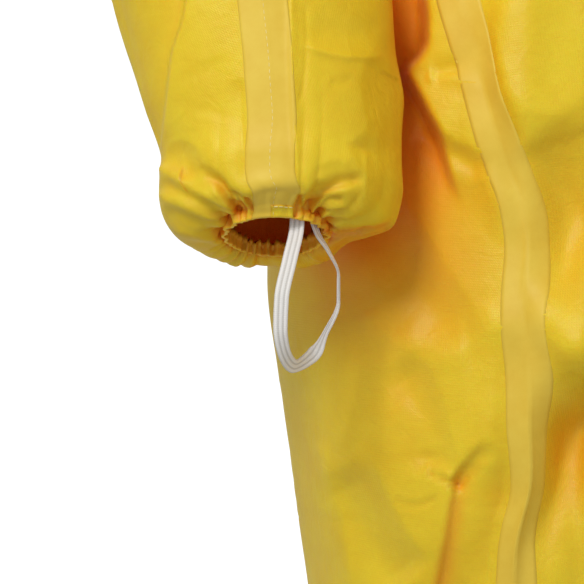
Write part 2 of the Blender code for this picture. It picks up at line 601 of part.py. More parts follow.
def build():
    """Every piece of the coverall."""
    fabric = finish("coated_fabric", "#E3C32C", 0.42)
    tape = finish("seam_tape", "#DDBB52", 0.36)
    elastic = finish("elastic_band", "#E6E2DC", 0.75)
    zip_tape = finish("zip_tape", "#D9B92E", 0.60)

    front, back, arm = panel(False), panel(True), sleeve_rows()
    hood = hood_rows(front, back)
    cloth("front", front, fabric)
    cloth("back", back, fabric)
    cloth("sleeve", arm, fabric)
    cloth("hood", hood, fabric)

    overlay(("sleeve_tape_right", "sleeve_tape_left"),
            joined(columns(arm[1:], -2, -1), columns(arm[1:], 0, 1)), SEAM, TAPE_THICK, tape)
    below_arm = sum(row["height"] < UNDERARM - MM for row in front)
    overlay(("side_tape_right", "side_tape_left"),
            joined(columns(front[:below_arm], -2, -1), columns(back[:below_arm], 0, 1)),
            SEAM, TAPE_THICK, tape)
    below_crotch = sum(row["height"] < CROTCH - MM for row in front)
    overlay(("inseam_tape_right", "inseam_tape_left"),
            joined(columns(back[:below_crotch], -2, -1), columns(front[:below_crotch], 0, 1)),
            SEAM, TAPE_THICK, tape)

    above_crotch = [row for row in back if BACK_TAPE_FOOT < row["height"] < NECKLINE - MM]
    overlay(("back_tape",), across_middle(columns(above_crotch, -2, -1)), SEAM, TAPE_THICK, tape,
            flips=(False, True))
    flap_rows = [row for row in front if FLAP_FOOT < row["height"] < NECKLINE - MM]
    flap = across_middle(columns(flap_rows, 1, 0))
    overlay(("front_flap",), flap, SEAM, FLAP_THICK, fabric, flips=(True, False))
    overlay(("zip",), flap, -WALL - SEAM - ZIP_THICK, ZIP_THICK, zip_tape, flips=(True, False))
    thumb_loops(elastic)


for old in list(bpy.data.objects):
    bpy.data.objects.remove(old, do_unlink=True)
build()
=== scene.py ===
"""Looks of the protective coverall: thin cloth shells on the frame's own form, with its folds,
gathered cuffs, welded tape, stitching and flat elastic, seen at the right cuff.

Metres, +Z up.  The wearer faces -Y, and the right side is at -X.  Right pieces are worked out
first.  Left ones are worked out with creases of their own and then mirrored.
"""
import math

import bpy
import numpy as np
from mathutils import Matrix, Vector


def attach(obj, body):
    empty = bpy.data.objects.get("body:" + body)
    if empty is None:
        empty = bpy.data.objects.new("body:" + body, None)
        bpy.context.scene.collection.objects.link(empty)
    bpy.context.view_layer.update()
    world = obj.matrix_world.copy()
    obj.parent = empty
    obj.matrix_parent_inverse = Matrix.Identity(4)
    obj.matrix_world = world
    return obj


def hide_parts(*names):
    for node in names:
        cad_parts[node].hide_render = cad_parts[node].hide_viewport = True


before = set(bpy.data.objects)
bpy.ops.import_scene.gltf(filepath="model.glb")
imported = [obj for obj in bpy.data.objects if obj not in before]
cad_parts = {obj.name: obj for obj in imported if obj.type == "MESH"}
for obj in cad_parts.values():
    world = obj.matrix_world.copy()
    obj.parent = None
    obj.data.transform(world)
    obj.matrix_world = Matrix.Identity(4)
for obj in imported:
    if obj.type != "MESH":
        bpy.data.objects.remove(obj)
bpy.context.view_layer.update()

MM = 0.001
SKIN = 0.45 * MM              # laminated fabric, thickened enough to give the shells two faces
HEM_FOLD = 1.3 * MM           # the doubled edge at the cuffs
WALL = 1.5 * MM               # wall of the frame's solids
TAPE_SKIN = 0.10 * MM
TAPE_LIFT = 0.05 * MM
TAPE_REACH = 11.0 * MM
FLAP_REACH = 30.0 * MM
FLAP_LIFT = 1.0 * MM
FLAP_SKIN = 0.9 * MM
FLAP_FOOT = -0.655
FILM_EDGE = 0.05 * MM         # what a tape's edge stands off the cloth
HEM_FOLD_REACH = 6 * MM
HEM_TURN = 5.8 * MM           # turned piece over the sleeve's tape at the hem

UNDERARM = -0.290             # heights
SHOULDER_TIP = -0.060
NECKLINE = -0.005
WAIST = -0.420
CROTCH = -0.745
ANKLE_HEM = -1.400
HOOD_TOP = 0.310
CHIN = 0.055
FOREHEAD = 0.245
ARMHOLE_FRONT = 33.0          # angles from the side, in degrees
ARMHOLE_BACK = 35.0
ELBOW_RING = 8.0              # rings of the sleeve, counted from the armhole
CUFF_RING = 15.0
HEM_RING = 19.0

# The camera, and the picture that it takes: 584 units wide and high.
PICTURE = 584.0
LENS_MM = 224.0
SENSOR_MM = 36.0
PITCH = math.radians(5.0)
CAMERA_AT = np.array((-0.230, -1.724, -0.486))
AHEAD = np.array((0.0, math.cos(PITCH), -math.sin(PITCH)))
ACROSS = np.array((1.0, 0.0, 0.0))
UPWARD = np.array((0.0, math.sin(PITCH), math.cos(PITCH)))
UNIT_MM = 0.44                # one picture unit at the cuff
CLOSER = 0.62                 # how much closer the sleeve's columns are at its seam
FOREARM_CLOSER = 4.4          # how much closer its rows are below the elbow, and again at the cuff
CUFF_CLOSER = 1.3


def table(names, *rows):
    """Named columns of numbers from rows, those in mm turned to metres."""
    columns = {}
    for name, column in zip(names.split(), zip(*rows)):
        values = np.array(column, float)
        columns[name.removesuffix("_mm")] = values * MM if name.endswith("_mm") else values
    return columns


# Level sections of one side, from the ankle up.
BODY = table(
    "height_mm outer_mm inner_mm front_mm back_mm front_lift_mm back_lift_mm power",
    (-1400, 185, 74, -60, 80, 0, 0, 2),
    (-1391, 185, 74, -60, 80, 0, 0, 2),
    (-1378, 204, 56, -80, 102, 0, 0, 2),
    (-1350, 212, 49, -92, 114, 0, 0, 2),
    (-1250, 214, 46, -92, 112, 0, 0, 2),
    (-1130, 213, 44, -94, 110, 0, 0, 2),
    (-1020, 211, 34, -106, 102, 0, 0, 2),
    (-900, 216, 20, -112, 116, 0, 0, 2),
    (-800, 221, 8, -120, 130, 0, 0, 2),
    (-745, 228, 0, -126, 138, 0, 0, 2),
    (-715, 232, -20, -128, 143, 0, 0, 2),
    (-680, 237, -52, -130, 147, 0, 0, 2),
    (-630, 243, -120, -130, 149, 0, 0, 2),
    (-580, 242, -200, -129, 146, 0, 0, 2),
    (-520, 225, -225, -127, 136, 0, 0, 2),
    (-470, 201, -201, -122, 122, 0, 0, 2.1),
    (-420, 185, -185, -116, 110, 0, 0, 2.2),
    (-370, 193, -193, -134, 136, 0, 0, 2.3),
    (-290, 197, -197, -142, 142, 0, 0, 2.3),
    (-220, 201, -201, -142, 138, -8, -2, 2.3),
    (-150, 203.5, -203.5, -134, 128, -24, -6, 2.3),
    (-100, 204.5, -204.5, -123, 117, -42, -8, 2.3),
    (-60, 203, -203, -108, 100, -56, -6, 2.3),
    (-35, 154, -154, -92, 86, -62, 4, 2.2),
    (-18, 112, -112, -82, 76, -64, 12, 2.1),
    (-5, 80, -80, -75, 66, -62, 20, 2),
)

# Level sections of the hood, from the neckline up.
HOOD = table(
    "height_mm outer_mm inner_mm front_mm back_mm front_lift_mm back_lift_mm power",
    (-5, 80, -80, -75, 66, -62, 20, 2),
    (35, 84, -84, -92, 78, -52, 16, 2),
    (80, 100, -100, -116, 102, -26, 6, 2),
    (140, 108, -108, -124, 120, -4, 0, 2),
    (190, 109, -109, -124, 124, 4, 0, 2),
    (235, 100, -100, -116, 116, 4, 0, 2),
    (270, 78, -78, -100, 102, 0, -4, 2),
    (296, 44, -44, -84, 88, -6, -8, 2),
    (310, 0, 0, -72, 78, -12, -14, 2),
)

# Angle of the hood's face edge, from the middle of the front.
FACE = table(
    "height_mm angle",
    (-5, 0), (55, 0), (70, 24), (100, 43), (140, 53), (180, 54), (215, 44), (237, 24), (245, 0),
    (310, 0),
)

# Angle of the side seam, which is drawn to the front over the hip.
SIDE = table(
    "height_mm angle",
    (-1400, 86), (-1280, 74), (-1150, 57), (-1020, 37), (-900, 20), (-800, 9), (-720, 8.5), (-680, 13),
    (-640, 19.5), (-600, 26), (-560, 33.5), (-515, 42.5), (-490, 48), (-420, 61), (-350, 78),
    (-290, 90),
)

# Rings of the sleeve from the armhole to the hem.
SLEEVE = table(
    "outer_x_mm outer_z_mm inner_x_mm inner_z_mm middle_mm front_mm rear_mm lean sag_mm turn armhole",
    (203, -60, 197, -290, 0, 94, 92, 0, 0, 0, 1),
    (234, -70, 203, -298, -2, 96, 94, 0, 0, 2, 0.7),
    (268, -100, 206.5, -307, -6, 92, 92, 0, 0, 8, 0.35),
    (297, -150, 208, -318, -10, 86, 88, 0, 0, 18, 0.1),
    (318, -210, 208, -331, -16, 80, 84, 2, 0, 32, 0),
    (334, -280, 208, -351, -24, 76, 80, 5, 0, 50, 0),
    (344, -346, 207, -384, -36, 72, 78, 11, 0, 68, 0),
    (342, -406, 203, -426, -56, 67, 72, 18, 0, 80, 0),
    (328, -456, 194.5, -464, -77, 62, 66, 21, 0, 86, 0),
    (309, -498, 185, -498, -93, 58, 62, 21, 0, 88, 0),
    (302.5, -521, 184, -521, -101, 55, 60, 21, 0, 89, 0),
    (296, -545, 181.5, -545, -110, 51, 57, 21, 0, 91, 0),
    (288, -567, 181.5, -567, -118, 47, 54, 21, 1, 94, 0),
    (288.5, -578, 181, -578, -123, 45, 53, 21, 2.5, 95, 0),
    (287.5, -584, 182.5, -584, -125, 43, 52, 21, 5, 95, 0),
    (283, -588, 186, -588, -126.5, 40, 49, 21, 9.5, 95, 0),
    (273, -590, 195, -590, -127.5, 36, 43, 21, 13, 94, 0),
    (265, -591, 206, -591, -128, 32, 36, 21, 11, 93, 0),
    (260, -595.5, 214.5, -595.5, -128.5, 29, 31, 21, 0, 92, 0),
    (260, -601, 214.5, -601, -130, 29, 31, 21, 0, 92, 0),
)

# Large folds all round: a trough (depth below zero) or ridge along a line, with its half width.
FOLDS = table(
    "x1_mm y1_mm z1_mm x2_mm y2_mm z2_mm width_mm depth_mm",
    (-215, -90, -365, -250, -115, -350, 12, -7), (-205, -60, -410, -260, -120, -395, 12, -6),
    (-330, 20, -330, -300, 60, -300, 14, 6), (-230, -90, -300, -290, -100, -240, 16, -6),
    (-215, 90, -280, -280, 80, -230, 16, -6), (-60, -140, -640, -150, -110, -760, 18, -8),
    (-50, 150, -660, -160, 130, -780, 20, -9), (-80, -110, -980, -190, -80, -1010, 20, -8),
    (-70, 105, -1010, -190, 80, -1050, 20, -10), (-100, -100, -1300, -200, -50, -1260, 20, 6),
    (-90, -145, -350, -170, -90, -385, 20, -8), (-60, 140, -350, -170, 90, -380, 20, -9),
    (-80, -130, -200, -140, -100, -300, 22, -7), (-70, 135, -180, -130, 110, -300, 22, -7),
    (-20, 150, -500, -120, 140, -640, 24, -9), (-180, 100, -470, -200, 100, -760, 20, 7),
    (-225, 20, -450, -240, 30, -900, 18, -7), (-210, 60, -520, -215, 70, -1000, 14, 6),
    (-100, 130, -800, -130, 120, -1300, 20, -8), (-160, 120, -860, -170, 110, -1350, 14, 7),
    (-60, 110, -1060, -180, 100, -1000, 12, 7), (-60, 100, -1200, -190, 80, -1240, 14, -8),
    (-80, 100, -1310, -190, 70, -1290, 12, 8), (-90, -100, -900, -120, -100, -1260, 18, -8),
    (-150, -105, -960, -170, -90, -1340, 12, 7), (-70, -95, -1200, -190, -70, -1230, 14, -8),
    (-80, -90, -1330, -180, -80, -1310, 10, 7), (-20, -135, -460, -110, -125, -600, 22, -7),
    (-40, -140, -700, -120, -120, -640, 12, 6), (-50, 130, -90, -100, 125, -230, 16, 6),
    (-20, 140, -140, -40, 140, -360, 18, -7), (-150, 120, -260, -120, 130, -400, 14, 7),
    (-330, -20, -180, -350, -60, -400, 18, -8), (-300, 60, -160, -330, 30, -380, 16, 7),
    (-230, 80, -180, -280, 90, -320, 14, -7), (-340, -50, -400, -290, 10, -430, 12, -8),
    (-345, -60, -440, -290, 0, -480, 10, 6), (-240, 20, -420, -300, 10, -400, 10, -7),
)

# Creases of the right sleeve as the camera sees them: a curve through three places in the
# picture, half widths to its left and right going down it, and height, in mm.
SLEEVE_CREASES = table(
    "x1 y1 x2 y2 x3 y3 left right high sharp",
    (158, 166, 190, 184, 240, 215, 4, 3, 2.3, 0.6),           # folds fanning out from the hem
    (162, 182, 192, 201, 234, 219, 3.6, 3.6, -2.4, 0.4),
    (158, 193, 188, 206, 228, 225, 3.4, 2.4, 2, 0.6),
    (166, 208, 192, 222, 226, 231, 3.6, 3, -2, 0.4),
    (174, 228, 198, 236, 226, 240, 3.6, 3, 1.5, 0.5),
    (186, 240, 206, 245, 226, 247, 2.4, 2, -1.3, 0.4),
    (206, 176, 226, 192, 244, 212, 2.4, 2.2, -1.6, 0.4),      # hollow under the lit plane
    (212, 190, 228, 203, 240, 214, 1.6, 1.6, 1.4, 0.7),
    (226, 186, 236, 197, 245, 211, 1.1, 1.1, 1.3, 0.7),
    (232, 190, 240, 200, 248, 213, 1, 1, -1.6, 0.7),
    (240, 194, 245, 202, 251, 213, 1, 1, 1.2, 0.8),
    (246, 197, 250, 205, 254, 214, 0.9, 0.9, -1.4, 0.8),
    (168, 126, 176, 119, 184, 110, 0.8, 0.8, 0.35, 0.8),      # faint creases above the dome
    (206, 60, 216, 92, 214, 120, 9, 9, -0.8, 0),
    (240, 80, 242, 130, 246, 190, 5, 1.5, -0.9, 0.2),         # shade at the tape, lit edge past it
    (290, -20, 292, 90, 299, 192, 1.2, 3.6, 1.9, 0.5),
    (305, 4, 306, 36, 305, 66, 1, 1.6, -0.5, 0.5),
    (305, 62, 303, 84, 298, 106, 1, 1.4, -0.5, 0.5),
    (330, 82, 342, 84, 352, 76, 2, 3, -0.5, 0.3),
    (318, 168, 334, 160, 348, 166, 2, 3, 0.6, 0.3),
    (316, 176, 334, 182, 352, 180, 3, 2, 0.7, 0.4),
    (364, 150, 365, 172, 362, 200, 1, 2.4, 1, 0.7),
    (315, 216, 324, 202, 344, 198, 2.4, 1.4, -2.6, 0.4),      # hollow under the arch
    (318, 218, 330, 208, 354, 204, 1.6, 1.6, 1.5, 0.5),
    (322, 224, 330, 214, 342, 211, 1.4, 1.2, -1.5, 0.5),
    (334, 227, 346, 219, 353, 214, 1.4, 1.6, 1.2, 0.5),
    (299, 192, 298, 205, 295, 218, 0.9, 1, -2.2, 0.6),        # narrow folds at the tape
    (303, 196, 303, 206, 302, 219, 1.1, 1.1, 1.7, 0.7),
    (307, 200, 309, 209, 308, 220, 0.9, 1, -1.8, 0.7),
    (310, 202, 313, 211, 312, 221, 0.9, 0.9, 1.3, 0.7),
    (336, 240, 350, 240, 372, 226, 2.4, 1.6, -1.5, 0.5),
    (336, 246, 352, 246, 368, 236, 1.6, 1.6, 1.2, 0.5),
)

# Turns of the cloth, where one flat plane meets another along a curve in the picture: how steeply
# it falls away from the camera on the left and right of the curve, and how many mm that reaches.
SLEEVE_TURNS = {
    "dome over the puff": dict(
        path=((157, 182), (160, 164), (164, 150), (171, 142), (180, 138), (190, 140), (198, 148),
              (204, 160), (209, 174), (218, 188)), left=(0.95, 7.0), right=(-0.12, 6.0)),
    "lit plane down to the hem": dict(
        path=((206, 160), (216, 170), (226, 177), (234, 187), (242, 200), (252, 214)),
        left=(1.5, 3.0), right=(0.0, 3.0)),
    "plane on the right": dict(
        path=((378, 30), (374, 50), (363, 63), (360, 82), (361, 100), (366, 120), (366, 133),
              (353, 139), (345, 145), (352, 157), (362, 178), (361, 200), (356, 216), (348, 232)),
        left=(-0.05, 8.0), right=(0.62, 12.0)),
    "arch over the hem": dict(
        path=((366, 186), (352, 187), (338, 190), (327, 195), (319, 202), (314, 211), (310, 222)),
        left=(1.5, 3.0), right=(0.0, 3.0)),
    "crease across": dict(
        path=((302, 38), (318, 45), (332, 49), (348, 52), (374, 52), (384, 50)),
        left=(-0.75, 1.9), right=(0.22, 7.0)),
}

# Creases of the right hip, in the same way.
HIP_CREASES = table(
    "x1 y1 x2 y2 x3 y3 left right high sharp",
    (426, 474, 443, 480, 460, 490, 1.2, 2.6, -2.2, 0.6),      # small creases above the knee
    (424, 469, 443, 473, 462, 480, 2.4, 1.2, 1.5, 0.6),
    (392, 498, 414, 506, 438, 496, 1, 3, -1.4, 0.7),
    (394, 492, 414, 500, 436, 490, 2, 1.2, 0.8, 0.6),
    (430, 74, 456, 66, 484, 46, 4, 4, -1.8, 0.1),             # dent and lip at the tape
    (424, 78, 452, 79, 484, 86, 2.4, 1.8, 1.3, 0.4),
    (400, 330, 436, 352, 470, 356, 8, 14, 1.2, 0.2),
    (366, 312, 384, 332, 420, 352, 6, 6, 1, 0.2),
    (400, 400, 424, 430, 432, 456, 7, 4, 1.2, 0.2),
    (520, -40, 512, 90, 530, 240, 14, 12, 3, 0.2),
    (560, 120, 540, 300, 560, 480, 14, 14, -3.5, 0.2),
    (500, 330, 512, 420, 496, 520, 10, 8, -2.6, 0.4),
    (486, 300, 494, 390, 480, 470, 8, 8, 2, 0.3),
    (330, 300, 345, 400, 340, 520, 18, 14, 1.8, 0.1),
    (285, 380, 300, 460, 318, 600, 10, 14, -1.6, 0.2),
    (320, 440, 340, 500, 352, 590, 6, 3, 1.2, 0.5),
)

HIP_TURNS = {
    "shadowed plane under the sleeve": dict(
        path=((398, 186), (409, 206), (421, 221), (437, 247), (452, 271), (470, 299), (490, 330)),
        left=(0.50, 14.0), right=(0.0, 9.0)),
    "wedge beside the tape": dict(
        path=((424, 118), (438, 129), (452, 138), (474, 148), (500, 160)),
        left=(0.75, 6.0), right=(0.0, 6.0)),
    "ridge down to the knee": dict(
        path=((418, 346), (430, 364), (440, 385), (447, 408), (453, 432), (457, 456), (458, 476)),
        left=(0.55, 11.0), right=(-0.10, 8.0)),
    "long slant over the shin": dict(
        path=((368, 452), (382, 478), (394, 504), (409, 534), (420, 549), (432, 562)),
        left=(0.75, 14.0), right=(0.0, 9.0)),
    "fold over the knee": dict(
        path=((444, 486), (449, 476), (457, 467), (468, 453), (484, 436)),
        left=(1.0, 4.5), right=(0.0, 4.0)),
}

# Edges where one layer of cloth lies in front of another, as curves in the picture: how far the
# effect reaches on each side, how far the left side sinks and the right side rises, and how soft
# the edge is, in mm, and over which share of its length it fades at each end.
SLEEVE_LAYERS = {
    "front over rear": dict(
        path=((196, -70), (185, 0), (181, 22), (171, 52), (168, 76), (165, 104), (162, 130),
              (160, 154), (160, 172)), left=60.0, right=14.0, low=8.0, high=2.0, soft=0.35,
        ends=0.14),
    "front hem over rear hem": dict(
        path=((316, 226), (328, 228), (340, 231), (355, 231), (370, 228), (384, 223), (394, 219)),
        left=16.0, right=10.0, low=6.5, high=2.0, soft=0.5, ends=0.14),
}
HIP_LAYERS = {
    "upper layer of the hip": dict(
        path=((420, -90), (422, 0), (424, 20), (424, 42), (417, 56), (407, 66), (404, 74),
              (410, 86), (418, 100), (428, 118), (437, 135), (443, 155), (449, 175), (456, 192),
              (466, 210)), left=34.0, right=44.0, low=12.0, high=11.0, soft=1.4, ends=0.32),
    "valley towards the knee": dict(
        path=((460, 458), (457, 480), (452, 506), (446, 540), (437, 576), (428, 620), (418, 670)),
        left=8.0, right=9.0, low=-1.0, high=-4.6, soft=2.4, ends=0.14),
}

# Curves in the picture along which orange shade is painted on the hip's cloth: the curve, its reach
# in mm and how strong the painted shade is.
PAINTED_SHADE_CURVES = (
    (((345, 236), (380, 232), (410, 240), (430, 258), (440, 276)), 24.0, 0.46),
    (((360, 320), (385, 350), (400, 390), (405, 430)), 20.0, 0.22),
    (((455, 503), (451, 524), (447, 544), (438, 580), (428, 624)), 3.8, 0.65),
)


def unit(vectors):
    """Vectors scaled to length one."""
    return vectors / np.maximum(np.linalg.norm(vectors, axis=-1, keepdims=True), 1e-12)


def eased(share):
    """Smooth step: 3 s^2 - 2 s^3 of a share held between 0 and 1."""
    share = np.clip(share, 0.0, 1.0)
    return share * share * (3 - 2 * share)


def glide(keys, values, at):
    """Cubic pieces through a table's column, with slopes that never overshoot."""
    step = np.diff(keys)
    rise = np.diff(values) / step
    before, after = rise[:-1], rise[1:]
    same_way = before * after > 0
    mean = 2 * before * after / np.where(same_way, before + after, 1.0)
    slope = np.concatenate(([rise[0]], np.where(same_way, mean, 0.0), [rise[-1]]))
    at = np.clip(at, keys[0], keys[-1])
    i = np.clip(np.searchsorted(keys, at, side="right") - 1, 0, len(step) - 1)
    t = (at - keys[i]) / step[i]
    return (values[i] * (2 * t**3 - 3 * t**2 + 1) + values[i + 1] * (3 * t**2 - 2 * t**3)
            + step[i] * (slope[i] * (t**3 - 2 * t**2 + t) + slope[i + 1] * (t**3 - t**2)))


def section(levels, angle, height):
    """Level superellipse: x = centre + a sin^p, y = middle - b cos^p, z = height + lift cos^2."""
    row = {name: glide(levels["height"], column, height) for name, column in levels.items()}
    centre = (row["outer"] + row["inner"]) / 2
    half_width = row["outer"] - centre
    half_depth = (row["back"] - row["front"]) / 2
    sine, cosine = np.sin(np.radians(angle)), np.cos(np.radians(angle))
    bend = 2 / row["power"]
    x = centre + half_width * np.sign(sine) * np.abs(sine) ** bend
    y = row["front"] + half_depth - half_depth * np.sign(cosine) * np.abs(cosine) ** bend
    lift = np.where(cosine > 0, row["front_lift"], row["back_lift"]) * cosine**2
    return np.stack((-x, y, height + lift), axis=-1)


def section_normal(levels, angle, height):
    """Outward direction: the cross product of small steps up and along the surface."""
    turn, climb = 0.6, 0.0025
    low = np.maximum(height - climb, levels["height"][0])
    high = np.minimum(height + climb, levels["height"][-1])
    along = section(levels, angle + turn, height) - section(levels, angle - turn, height)
    upward = section(levels, angle, high) - section(levels, angle, low)
    return unit(np.cross(upward, along))


def armhole(way):
    """Angle and height of the armhole: way 0 at the underarm, 90 front, 180 tip, 270 back."""
    sine, cosine = np.sin(np.radians(way)), np.cos(np.radians(way))
    reach = np.where(sine > 0, ARMHOLE_FRONT, ARMHOLE_BACK)
    return 90.0 - reach * sine, UNDERARM + (SHOULDER_TIP - UNDERARM) * (1 - cosine) / 2


def sleeve(way, ring):
    """Ring of four quarter ellipses about the middle of its outermost and innermost points,
    leaned back, its sides and rear let down by sag, and drawn to the armhole at its top."""
    rings = np.arange(len(SLEEVE["turn"]), dtype=float)
    row = {name: glide(rings, column, ring) for name, column in SLEEVE.items()}
    sine, cosine = np.sin(np.radians(way)), np.cos(np.radians(way))
    lean = np.radians(row["lean"])
    zero = np.zeros_like(lean)
    outer = np.stack((-row["outer_x"], row["middle"], row["outer_z"]), axis=-1)
    inner = np.stack((-row["inner_x"], row["middle"], row["inner_z"]), axis=-1)
    forward = np.stack((zero, -np.cos(lean), np.sin(lean)), axis=-1)
    down = np.stack((zero, -np.sin(lean), -np.cos(lean)), axis=-1)
    depth = np.where(sine > 0, row["front"], row["rear"]) * sine
    hang = row["sag"] * (1 - np.maximum(sine, 0) ** 1.5)
    points = ((outer + inner) / 2 + (inner - outer) / 2 * cosine[..., None]
              + forward * depth[..., None] + down * hang[..., None])
    edge = section(BODY, *armhole(way))
    first_row = {name: column[0] for name, column in SLEEVE.items()}
    tip = np.array((-first_row["outer_x"], 0.0, first_row["outer_z"]))
    under = np.array((-first_row["inner_x"], 0.0, first_row["inner_z"]))
    first_depth = np.where(sine > 0, first_row["front"], first_row["rear"]) * sine
    first = ((tip + under) / 2 + (under - tip) / 2 * cosine[..., None]
             + np.array((0.0, -1.0, 0.0)) * first_depth[..., None])
    return points + (edge - first) * row["armhole"][..., None]


def sleeve_normal(way, ring):
    """Outward direction of the sleeve, from small steps round and along it."""
    turn, step = 1.5, 0.2
    along = sleeve(way + turn, ring) - sleeve(way - turn, ring)
    low, high = np.maximum(ring - step, 0.0), np.minimum(ring + step, HEM_RING)
    return unit(np.cross(along, sleeve(way, high) - sleeve(way, low)))


def in_picture(points):
    """Where the camera sees points, in picture units from the picture's upper left corner."""
    offset = points - CAMERA_AT
    scale = PICTURE * LENS_MM / SENSOR_MM / (offset @ AHEAD)
    return PICTURE / 2 + scale * (offset @ ACROSS), PICTURE / 2 - scale * (offset @ UPWARD)


def bent_line(x1, y1, x2, y2, x3, y3, count=9):
    """Points of the parabola through three places."""
    t = np.linspace(0.0, 1.0, count)
    first, last = 2 * (t - 0.5) * (t - 1), 2 * t * (t - 0.5)
    mid = 4 * t * (1 - t)
    return first * x1 + mid * x2 + last * x3, first * y1 + mid * y2 + last * y3


def along_curve(px, py, lx, ly):
    """Signed distance in mm to a chain of straight pieces, positive on the right going along it,
    and the share of its length."""
    best = np.full(px.shape, 1e9)
    side, share = np.ones(px.shape), np.zeros(px.shape)
    for i, (x0, y0, x1, y1) in enumerate(zip(lx[:-1], ly[:-1], lx[1:], ly[1:])):
        dx, dy = x1 - x0, y1 - y0
        t = np.clip(((px - x0) * dx + (py - y0) * dy) / (dx * dx + dy * dy), 0.0, 1.0)
        gap = np.hypot(px - x0 - t * dx, py - y0 - t * dy)
        nearer = gap < best - 1e-9
        best = np.where(nearer, gap, best)
        share = np.where(nearer, (i + t) / (len(lx) - 1), share)
        side = np.where(nearer, np.sign(dy * (px - x0) - dx * (py - y0)), side)
    return best * side * UNIT_MM, share


def crease_lines(lines, px, py):
    """For each crease of a table: its distance and share of length, and its other columns."""
    for *places, left, right, high, sharp in zip(*lines.values()):
        yield *along_curve(px, py, *bent_line(*places)), (left, right, high, sharp)


def to_camera(normals):
    """Share by which a face is turned to the camera, full from a quarter turned."""
    return np.clip((-(normals @ AHEAD) - 0.02) / 0.25, 0.0, 1.0)


def picture_creases(creases, points, normals):
    """Sum over creases of height times a peaked bell of the distance to the crease's line, with a
    half width for each side; sharp runs from 0, round, to 1, a knife edge."""
    px, py = in_picture(points)
    total = np.zeros(px.shape)
    for away, share, (left, right, high, sharp) in crease_lines(creases, px, py):
        reach = np.abs(away) / np.where(away > 0, right, left)
        round_bell, peaked = np.exp(-reach**2), np.exp(-np.sqrt(reach**2 + 0.01) * 1.5)
        fade = np.clip(np.minimum(share, 1 - share) / 0.12, 0.0, 1.0) ** 0.7
        total += high * MM * fade * (round_bell * (1 - sharp) + peaked * sharp)
    return total * to_camera(normals)


def steps_back(layers, points, normals):
    """Sum over layer edges of how far the cloth comes to the camera: high on the right of the
    curve, dying out over its right reach, and low on the left in the same way."""
    px, py = in_picture(points)
    total = np.zeros(px.shape)
    for edge in layers.values():
        path = np.array(edge["path"], float)
        chord = np.concatenate(([0.0], np.cumsum(np.hypot(*np.diff(path, axis=0).T))))
        fine = np.linspace(0.0, chord[-1], 5 * len(path))
        lx, ly = glide(chord, path[:, 0], fine), glide(chord, path[:, 1], fine)
        away, share = along_curve(px, py, lx, ly)
        over = 0.5 + 0.5 * np.tanh(away / edge["soft"])
        rise = edge["high"] * np.exp(-np.maximum(away, 0.0) / edge["right"]) * over
        sink = edge["low"] * np.exp(-np.maximum(-away, 0.0) / edge["left"]) * (1 - over)
        total += MM * (rise - sink) * eased(np.minimum(share, 1 - share) / edge["ends"])
    return total * to_camera(normals)


def turned_planes(turns, points, normals):
    """Sum over turns of slope times distance times exp(-(distance / 1.5 reach)^3): a kink on the
    curve, a flat plane beside it, and a soft way back to the cloth's own form."""
    px, py = in_picture(points)
    total = np.zeros(px.shape)
    for turn in turns.values():
        lx, ly = np.array(turn["path"], float).T
        away, share = along_curve(px, py, lx, ly)
        slope = np.where(away > 0, turn["right"][0], turn["left"][0])
        reach = np.where(away > 0, turn["right"][1], turn["left"][1])
        distance = np.sqrt(away**2 + 0.06) - 0.245
        fade = np.clip(np.minimum(share, 1 - share) / 0.16, 0.0, 1.0)
        total += MM * slope * distance * np.exp(-(distance / (1.5 * reach)) ** 3) * fade
    return total * to_camera(normals)


def full_front(points, normals):
    """How far the cloth stands out above the front of the hem: a bell in the picture."""
    px, py = in_picture(points)
    bell = np.exp(-((py - 193) / 17) ** 2 - ((px - 268) / 36) ** 2)
    return 6.5 * MM * bell * to_camera(normals)


def drawn_up(points, from_hem):
    """How far the cloth under the cuff's right side is drawn up: a smooth step down the picture
    times a smooth step to the right."""
    px, py = in_picture(points)
    loose = np.clip(from_hem / (7 * MM), 0.0, 1.0)
    return 7.5 * MM * eased((py - 220) / 44) * eased((px - 318) / 34) * loose


def in_frame(points):
    """Share by which a place lies within the camera's picture."""
    px, py = in_picture(points)
    inside = np.minimum(np.minimum(px + 40, 500 - px), np.minimum(py + 40, PICTURE + 40 - py))
    return np.clip(inside / 40, 0.0, 1.0)


def seen(points, normals):
    """Share by which the camera sees the cloth: turned to it, and within its picture."""
    return in_frame(points) * to_camera(normals)


def painted_shade_bells(points, normals):
    """Painted shade: bells of the distance to curves in the picture, strongest on the curves."""
    px, py = in_picture(points)
    total = np.zeros(px.shape)
    for path, reach, share in PAINTED_SHADE_CURVES:
        away, _ = along_curve(px, py, *np.array(path, float).T)
        total += share * np.exp(-(away / reach) ** 2)
    return total * to_camera(normals)


def folds(points):
    """Sum over the large folds of depth times a bell of the distance to the fold's line, and
    1.6 times as deep where the camera's picture doesn't reach."""
    total = np.zeros(points.shape[:-1])
    for x1, y1, z1, x2, y2, z2, width, depth in zip(*FOLDS.values()):
        start, run = np.array((x1, y1, z1)), np.array((x2 - x1, y2 - y1, z2 - z1))
        t = np.clip((points - start) @ run / (run @ run), 0.0, 1.0)
        distance = np.linalg.norm(points - start - t[..., None] * run, axis=-1)
        total += depth * np.exp(-(distance / width) ** 2)
    return total * (1.6 - 0.6 * in_frame(points))


